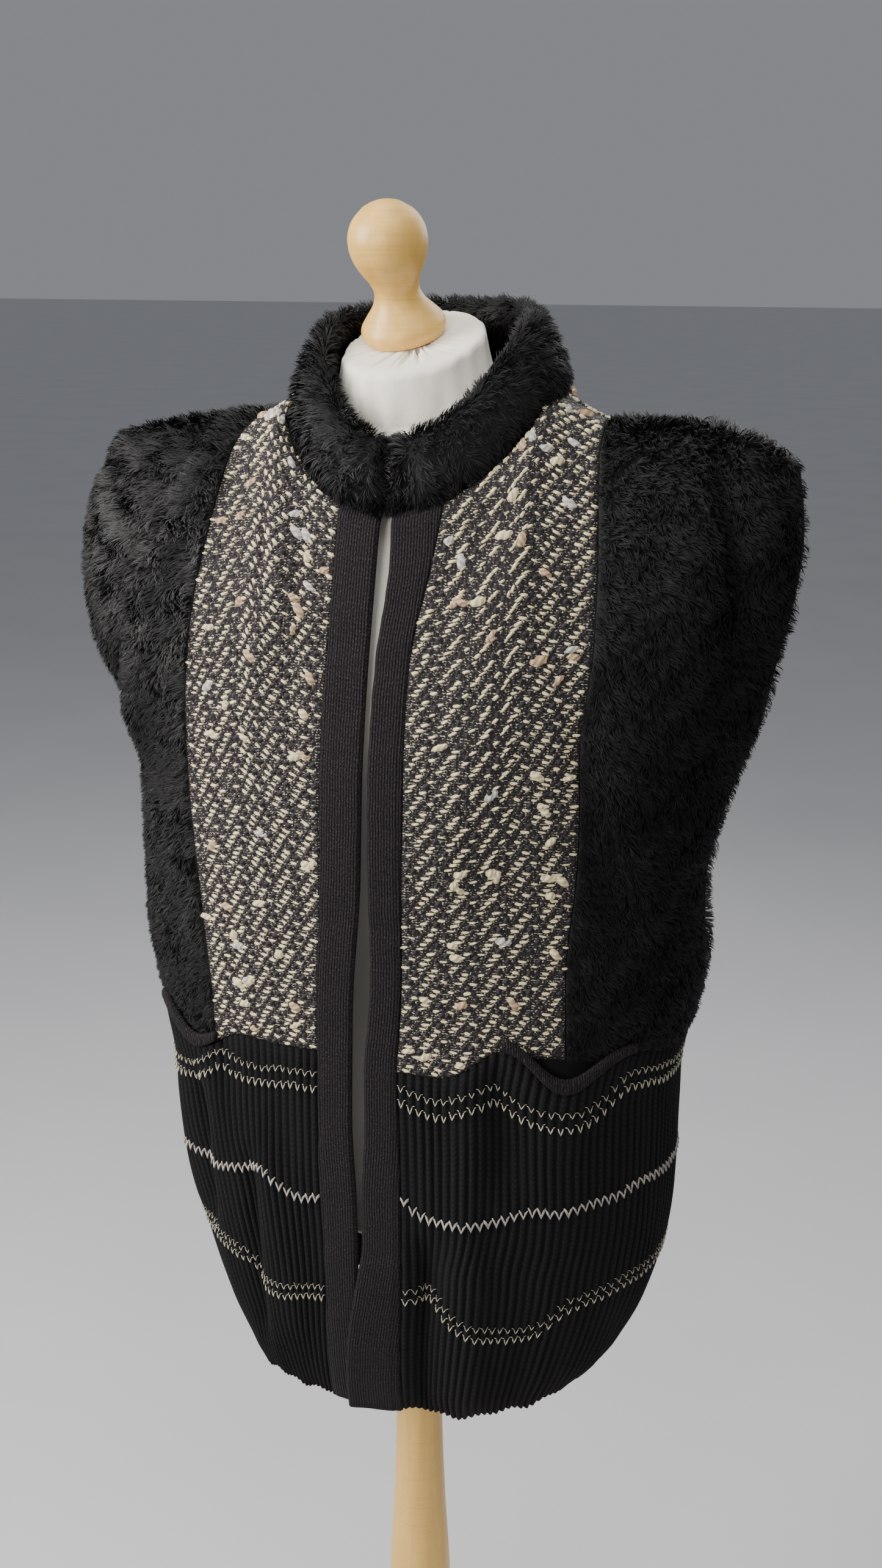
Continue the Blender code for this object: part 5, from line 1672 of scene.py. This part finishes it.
@dataclass
class Collar:
    """The padded stand collar, covered in pile and open at the front."""

    half_thickness: float = 0.0056
    top_half_width: float = 0.073
    top_front: float = 0.078
    top_back: float = 0.066
    front_height: float = 0.050
    side_height: float = 0.051
    back_height: float = 0.035
    gap_half: float = 0.0045
    end_share: float = 0.07
    seat: float = 0.0030
    stations: int = 150
    corners: int = 26
    hairs: int = 27000
    lock: Lock = Lock(0.0102, 0.00078, 1.35, 0.9, 0.55, 0.22, 14)

    def line(self, turn: Array, is_top: bool) -> Array:
        """Gives points of the collar's lower or upper middle line."""
        is_back = np.cos(turn) < 0
        cosine = np.abs(np.cos(turn))
        x = NECK_CENTRE_X + (self.top_half_width if is_top else NECK_HALF_WIDTH) * np.sin(turn)
        if is_top:
            depth = np.where(is_back, self.top_back, self.top_front)
        else:
            depth = np.where(is_back, CLOTH.neck_back_depth, CLOTH.neck_front_depth)
        y = np.where(is_back, 1.0, -1.0) * depth * cosine
        slope = np.where(is_back, CLOTH.neck_back_rise, -CLOTH.neck_front_drop)
        z = CLOTH.neck_side_height(x) + slope * cosine ** (2 * NECK_CURVE) + self.seat
        if is_top:
            end = np.where(is_back, self.back_height, self.front_height)
            z = z + self.side_height + (end - self.side_height) * cosine ** 2
        return np.stack((x, y, z), axis=-1)

    def build(self) -> None:
        """Builds the padding and its pile."""
        gap = self.gap_half / NECK_HALF_WIDTH
        turn = np.linspace(gap, 2 * math.pi - gap, self.stations)
        low, high = self.line(turn, False), self.line(turn, True)
        up = high - low
        height = np.linalg.norm(up, axis=1)
        up = unit(up)
        out = unit(np.cross(self.line(turn + 0.01, False) - self.line(turn - 0.01, False), up))
        inward = np.sum(out * (low - np.array((NECK_CENTRE_X, 0, 0))) * np.array((1, 1, 0)), axis=1) < 0
        out[inward] *= -1
        nearness = np.minimum(np.arange(self.stations), np.arange(self.stations)[::-1]) / 10
        taper = np.sqrt(np.clip(1 - np.clip(1 - nearness, 0, 1) ** 2 * 0.85, 0.05, 1.0))
        corner = 2 * math.pi * np.arange(self.corners) / self.corners
        side = np.sign(np.cos(corner)) * np.abs(np.cos(corner)) ** 0.85
        rise = np.sign(np.sin(corner)) * np.abs(np.sin(corner)) ** 0.85
        centre = (low + high) / 2
        from_front = np.minimum(turn, 2 * math.pi - turn)
        pucker = 1 + 0.50 * np.exp(-(from_front / 0.45) ** 2) * np.sin(from_front * 26)
        wide = self.half_thickness * taper * pucker
        points = (centre[:, None, :] + out[:, None, :] * (wide[:, None] * side)[..., None]
                  + up[:, None, :] * ((height / 2 - 0.002)[:, None] * rise)[..., None])
        faces = grid_faces(self.stations, self.corners, is_closed=True)
        size = self.stations * self.corners
        caps = end_caps(self.corners, size)
        pad = new_object("collar_fur_padding", points.reshape(-1, 3), (faces, caps))
        correct_normals(pad)
        pad.data.materials.append(BACKING_MATERIAL())
        random = np.random.default_rng(SEED + 31)
        s = random.uniform(0, self.stations - 1.001, self.hairs)
        at_end = random.random(self.hairs) < self.end_share
        s = np.where(at_end, np.where(s < self.stations / 2, s * 0.03, self.stations - 1.001 - s % 2.2), s)
        c = random.uniform(0, 2 * math.pi, self.hairs)
        row = s.astype(int)
        t = (s - row)[:, None]

        def between(line: Array) -> Array:
            return line[row] * (1 - t) + line[row + 1] * t

        ring_out = between(out)
        ring_up = between(up)
        half_wide = between(wide[:, None])
        half_high = between((height / 2 - 0.002)[:, None])
        cosine, sine = np.cos(c)[:, None], np.sin(c)[:, None]
        roots = (between(centre) + ring_out * half_wide * np.sign(cosine) * np.abs(cosine) ** 0.85
                 + ring_up * half_high * np.sign(sine) * np.abs(sine) ** 0.85)
        ahead = unit(np.gradient(centre, axis=0))
        outwards = np.where(row < self.stations / 2, -1.0, 1.0)
        end = outwards * np.clip(1 - np.minimum(s, self.stations - 1 - s) / 3.5, 0, 1)
        normal = unit(ring_out * cosine + ring_up * sine * 0.55 + between(ahead) * end[:, None] * 1.2)
        flow = unit(-ring_up * 0.5 + np.cross(ring_up, ring_out) * 0.3 + np.array((0, 0, -0.25)))
        flow = unit(flow - normal * np.sum(flow * normal, axis=1, keepdims=True) + 1e-9)
        pile = grow_pile("collar_fur_pile", roots, normal, flow, self.lock, SEED + 32)
        dress("collar_fur", "long_pile", pad, pile)
        LOG.info("collar_fur: %d hairs", self.hairs)


def correct_normals(piece: bpy.types.Object) -> None:
    """Turns a closed mesh's faces outwards."""
    bm = bmesh.new()
    bm.from_mesh(piece.data)
    bmesh.ops.recalc_face_normals(bm, faces=bm.faces[:])
    bm.to_mesh(piece.data)
    bm.free()


@dataclass
class DressForm:
    """The jersey-covered torso, gathered under the knob."""

    bottom: float = 0.790
    cap_height: float = 1.471
    cap_radius: float = 0.053
    cap_tilt: float = math.radians(21.0)
    cap_roll: float = math.radians(3.0)
    knob_x: float = -0.010
    knob_y: float = 0.008
    corners: int = 240
    gathers: int = 44
    crease: float = 0.0046
    pucker: float = 0.0007

    @property
    def knob_foot(self) -> Array:
        """The middle of the knob's foot, on the cap."""
        height = (self.cap_height + self.knob_x * math.tan(self.cap_roll)
                  + self.knob_y * math.tan(self.cap_tilt))
        return np.array((self.knob_x, self.knob_y, height))

    def ring(self, height: float, half: float, front: float, back: float, power: float,
             tilt: float, roll: float) -> Array:
        """Gives one ring of the torso."""
        turn = round_turns(self.corners)
        bend = 2 / power
        x = np.sign(np.sin(turn)) * half * np.abs(np.sin(turn)) ** bend
        depth = np.where(np.cos(turn) > 0, front, back)
        y = -np.sign(np.cos(turn)) * depth * np.abs(np.cos(turn)) ** bend
        return np.stack((x, y, height + y * math.tan(tilt) + x * math.tan(roll)), axis=-1)

    def build(self) -> None:
        """Builds the torso with the gathered neck."""
        rings = []
        foot = [float(FORM.read(column, 0.850)) for column in ("half", "front", "back")]
        for rise, share in ((0.0, 0.60), (0.0, 0.88), (0.001, 0.93), (0.006, 0.965), (0.018, 0.995)):
            rings.append(self.ring(self.bottom + rise, *(value * share for value in foot), 2.3, 0.0, 0.0))
        for height in np.concatenate((np.linspace(0.830, 1.360, 24), np.linspace(1.366, 1.4415, 24))):
            row = [float(FORM.read(column, height)) for column in ("half", "front", "back", "power", "tilt")]
            rings.append(self.ring(height, *row, row[-1] / self.cap_tilt * self.cap_roll))
        for drop, share in ((0.006, 1.0), (0.004, 0.995), (0.0022, 0.980), (0.0009, 0.955), (0.0002, 0.92),
                            (0.0, 0.86), (0.0, 0.80), (0.0, 0.74), (0.0, 0.68), (0.0, 0.62), (0.0, 0.56),
                            (0.0, 0.50), (0.0, 0.44), (0.0, 0.38), (0.0, 0.30)):
            radius = self.cap_radius * share
            rings.append(self.ring(self.cap_height - drop, radius, radius, radius, 2.0,
                                   self.cap_tilt, self.cap_roll))
        points = np.array(rings)
        self.gather(points)
        faces = grid_faces(len(points), self.corners, is_closed=True)
        size = len(points) * self.corners
        caps = end_caps(self.corners, size)
        torso = new_object("form_torso_cover", points.reshape(-1, 3), (faces, caps))
        correct_normals(torso)
        torso.data.materials.append(Jersey().material())
        dress("form_torso", "form_jersey", torso)
        LOG.info("form_torso built")

    def gather(self, points: Array) -> None:
        """Creases the neck towards the knob's foot, in place."""
        turn = round_turns(self.corners)
        axis = unit(np.array((-math.tan(self.cap_roll), -math.tan(self.cap_tilt), 1.0)))
        for ring in points:
            if ring[:, 2].max() < 1.43:
                continue
            flat = ring - self.knob_foot
            flat = flat - axis * (flat @ axis)[:, None]
            distance = np.linalg.norm(flat, axis=1)
            crease = np.zeros(self.corners)
            random = np.random.default_rng(SEED + 3)
            for _ in range(self.gathers):
                at = random.uniform(0, 2 * math.pi)
                wide = random.uniform(0.018, 0.046)
                reach = random.uniform(0.040, 0.062)
                away = (turn - at + math.pi) % (2 * math.pi) - math.pi
                fade = np.clip(1 - (distance - 0.029) / (reach - 0.029), 0.0, 1.0)
                crease += random.uniform(0.4, 1.0) * np.exp(-(away / wide) ** 2) * fade
            ring -= axis * (self.crease * crease)[:, None]
            on_side = ease(np.linalg.norm(ring[:, :2], axis=1), 0.044, 0.052)
            pucker = ripple(ring * np.array((1.0, 1.0, 0.22)), 0.013, SEED + 5) * self.pucker * on_side
            ring[:, :2] += unit(ring[:, :2]) * (pucker - self.pucker)[:, None]


def select_only(piece: bpy.types.Object) -> None:
    """Makes a piece the only selected and the active object."""
    bpy.ops.object.select_all(action="DESELECT")
    piece.select_set(True)
    bpy.context.view_layer.objects.active = piece


@dataclass
class Turning:
    """A turned wooden piece, drawn out ring by ring from a round foot."""

    name: str
    heights: Array
    radii: Array
    corners: int = 72

    def build(self) -> bpy.types.Object:
        """Draws the piece out of a disc.

        Returns:
            The finished piece, upright over its own origin.
        """
        bpy.ops.object.select_all(action="DESELECT")
        bpy.ops.mesh.primitive_circle_add(vertices=self.corners, radius=self.radii[0], fill_type="NGON",
                                          location=(0, 0, float(self.heights[0])))
        piece = bpy.context.object
        piece.name = self.name
        piece.data.name = self.name
        bpy.ops.object.mode_set(mode="EDIT")
        bpy.ops.mesh.select_mode(type="FACE")
        bpy.ops.mesh.select_all(action="SELECT")
        for i in range(1, len(self.heights)):
            step = float(self.heights[i] - self.heights[i - 1])
            ratio = float(self.radii[i] / self.radii[i - 1])
            bpy.ops.mesh.extrude_region_move(TRANSFORM_OT_translate={"value": (0, 0, step)})
            bpy.ops.transform.resize(value=(ratio, ratio, 1.0), center_override=(0, 0, 0))
        bpy.ops.mesh.select_all(action="SELECT")
        bpy.ops.mesh.normals_make_consistent(inside=False)
        bpy.ops.object.mode_set(mode="OBJECT")
        bpy.ops.object.shade_smooth_by_angle(angle=math.radians(40))
        piece.data.materials.append(WOOD_MATERIAL())
        return piece


@dataclass
class Stand:
    """The pole, the round base and the knob over the neck."""

    form_bottom: float = 0.790
    base_height: float = 0.026
    base_radius: float = 0.170
    knob_seat: float = 0.0006
    gap: float = 0.0003

    def finish(self, piece: bpy.types.Object, node: str) -> None:
        select_only(piece)
        bpy.ops.object.transform_apply(location=True, rotation=True, scale=True)
        dress(node, "pale_wood", piece)
        LOG.info("%s built", node)

    def build_pole(self) -> None:
        """Builds the turned pole."""
        low, high = self.base_height + self.gap, self.form_bottom - self.gap
        heights = np.linspace(low, high, 90)
        pole = Turning("stand_pole_turned", heights, POLE_PROFILE.read("radius", heights)).build()
        self.finish(pole, "stand_pole")

    def build_base(self) -> None:
        """Builds the round base with its softened edges."""
        edge = ((0.0, 0.002), (0.0008, 0.0007), (0.002, 0.0), (0.014, 0.0), (0.017, 0.0010), (0.020, 0.0030),
                (0.0228, 0.0058), (0.0245, 0.0090), (0.0256, 0.0125), (0.026, 0.016), (0.026, 0.05))
        heights = np.array([height for height, _ in edge])
        radii = np.array([self.base_radius - inset for _, inset in edge])
        base = Turning("stand_base_turned", heights, radii, 128).build()
        self.finish(base, "stand_base")

    def build_knob(self, form: DressForm) -> None:
        """Builds the turned knob, square to the neck's cap."""
        heights = np.concatenate((np.linspace(0, 0.0936, 60), (0.0951, 0.0963, 0.0970, 0.0974, 0.0975)))
        radii = FINIAL_PROFILE.read("radius", heights)
        radii[-5:] = (0.0114, 0.0082, 0.0053, 0.0024, 0.0006)
        knob = Turning("form_finial_turned", heights, radii).build()
        axis = Vector((-math.tan(form.cap_roll), -math.tan(form.cap_tilt), 1)).normalized()
        foot = Vector(form.knob_foot)
        knob.rotation_euler = Vector((0, 0, 1)).rotation_difference(axis).to_euler()
        knob.location = foot + axis * self.knob_seat
        self.finish(knob, "form_finial")


@dataclass
class Studio:
    """The camera at the photograph's angle, a pale floor and soft lights."""

    focal_pixels: float = 2800.0
    long_side_pixels: float = 2568.0
    pitch: float = math.radians(17.5)
    azimuth: float = math.radians(20.0)
    distance: float = 1.267
    height: float = 1.536
    aside_pixels: float = 42.0
    floor_reach: float = 45.0

    def build_camera(self) -> None:
        """Places the camera."""
        look = self.azimuth - math.atan(self.aside_pixels / self.focal_pixels)
        ahead = Vector((-math.sin(look) * math.cos(self.pitch), math.cos(look) * math.cos(self.pitch),
                        -math.sin(self.pitch)))
        right = Vector((math.cos(look), math.sin(look), 0.0))
        up = right.cross(ahead)
        data = bpy.data.cameras.new("camera")
        data.sensor_width = 36.0
        data.lens = self.focal_pixels / self.long_side_pixels * data.sensor_width
        data.clip_start = 0.02
        data.clip_end = 60.0
        camera = bpy.data.objects.new("camera", data)
        bpy.context.scene.collection.objects.link(camera)
        turn = Matrix((right, up, -ahead)).transposed()
        camera.matrix_world = Matrix.Translation((math.sin(self.azimuth) * self.distance,
                                                  -math.cos(self.azimuth) * self.distance,
                                                  self.height)) @ turn.to_4x4()
        bpy.context.scene.camera = camera

    def build_floor(self) -> None:
        """Builds the plain pale floor."""
        reach = self.floor_reach
        points = [(across, along, 0.0) for along in (-reach, reach) for across in (-reach, reach)]
        floor = new_object("floor", np.array(points), (grid_faces(2, 2),))
        graph = Graph("floor_paper", (0.62, 0.62, 0.635), 0.9)
        cloud = graph.noise(graph.place(), 2.5, 2.0)
        graph.set("Base Color", graph.mix(cloud, (0.58, 0.58, 0.60), (0.66, 0.66, 0.675)))
        floor.data.materials.append(graph.material)

    def light(self, name: str, size: float, power: float, azimuth: float, elevation: float,
              reach: float, colour: Colour) -> None:
        """Adds a soft square light.

        Args:
            name: Name of the light.
            size: Its width in metres.
            power: Its power in watts.
            azimuth: Its direction from the vest, in degrees, 0 at the front.
            elevation: Its angle above the vest, in degrees.
            reach: Its distance in metres.
            colour: Its colour.
        """
        data = bpy.data.lights.new(name, "AREA")
        data.size = size
        data.energy = power
        data.color = colour
        lamp = bpy.data.objects.new(name, data)
        bpy.context.scene.collection.objects.link(lamp)
        a, e = math.radians(azimuth), math.radians(elevation)
        aim = Vector((math.sin(a) * math.cos(e), -math.cos(a) * math.cos(e), math.sin(e)))
        lamp.location = Vector((0, 0, 1.1)) + aim * reach
        lamp.rotation_euler = aim.to_track_quat("Z", "Y").to_euler()

    def build_lights(self) -> None:
        """Builds a large window light from the viewer's left and soft fills."""
        self.light("window", 1.3, 90.0, -56.0, 26.0, 2.2, (1.0, 0.985, 0.955))
        self.light("room", 2.6, 10.0, 42.0, 36.0, 2.8, (0.97, 0.98, 1.0))
        self.light("front", 0.6, 16.0, -3.0, 20.0, 2.2, (1.0, 0.985, 0.96))
        self.light("ceiling", 2.2, 30.0, -6.0, 80.0, 1.9, (1.0, 1.0, 1.0))
        self.light("behind", 1.6, 24.0, 160.0, 34.0, 2.2, (1.0, 0.99, 0.97))
        world = bpy.data.worlds.new("air")
        world.use_nodes = True
        world.node_tree.nodes["Background"].inputs["Color"].default_value = (0.80, 0.83, 0.88, 1.0)
        world.node_tree.nodes["Background"].inputs["Strength"].default_value = 0.30
        bpy.context.scene.world = world


def count_triangles() -> int:
    """Counts the triangles of all that this script adds."""
    added = [made for made in bpy.data.objects if made.type == "MESH" and made.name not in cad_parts]
    return sum(len(face.vertices) - 2 for made in added for face in made.data.polygons)


def main() -> None:
    """Builds every piece of the vest and its form, then the studio."""
    logging.basicConfig(level=logging.INFO, format="%(name)s: %(message)s")
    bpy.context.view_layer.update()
    Studio().build_camera()
    tweed, pile, welts, bands = TweedPanels(), PilePanels(), Welts(), FrontBands()
    for number, side in enumerate(Side):
        tweed.build(Face.FRONT, side, SEED + number)
        pile.build(side, Face.FRONT, SEED + 40 + number)
        pile.build(side, Face.BACK, SEED + 50 + number)
        bands.build(side)
        sign = side.value
        welts.build(f"front_welt_{side.word}", band_edge(side, "out"),
                    lambda levels, s=sign: np.full(len(levels), s * (math.pi / 2 - 0.0006)),
                    welts.front_ribs, False)
    tweed.build(Face.BACK, Side.LEFT, SEED + 2)
    welts.build("back_welt", lambda levels: np.full(len(levels), 1.5 * math.pi - 0.0006),
                lambda levels: np.full(len(levels), math.pi / 2 + 0.0006), welts.back_ribs, True)
    pockets = Pockets()
    for side in Side:
        pockets.binding(side, welts)
        pockets.lining(side)
    Collar().build()
    form = DressForm()
    form.build()
    stand = Stand()
    stand.build_pole()
    stand.build_base()
    stand.build_knob(form)
    studio = Studio()
    studio.build_floor()
    studio.build_lights()
    LOG.info("%d triangles in all", count_triangles())


if __name__ == "__main__":
    main()
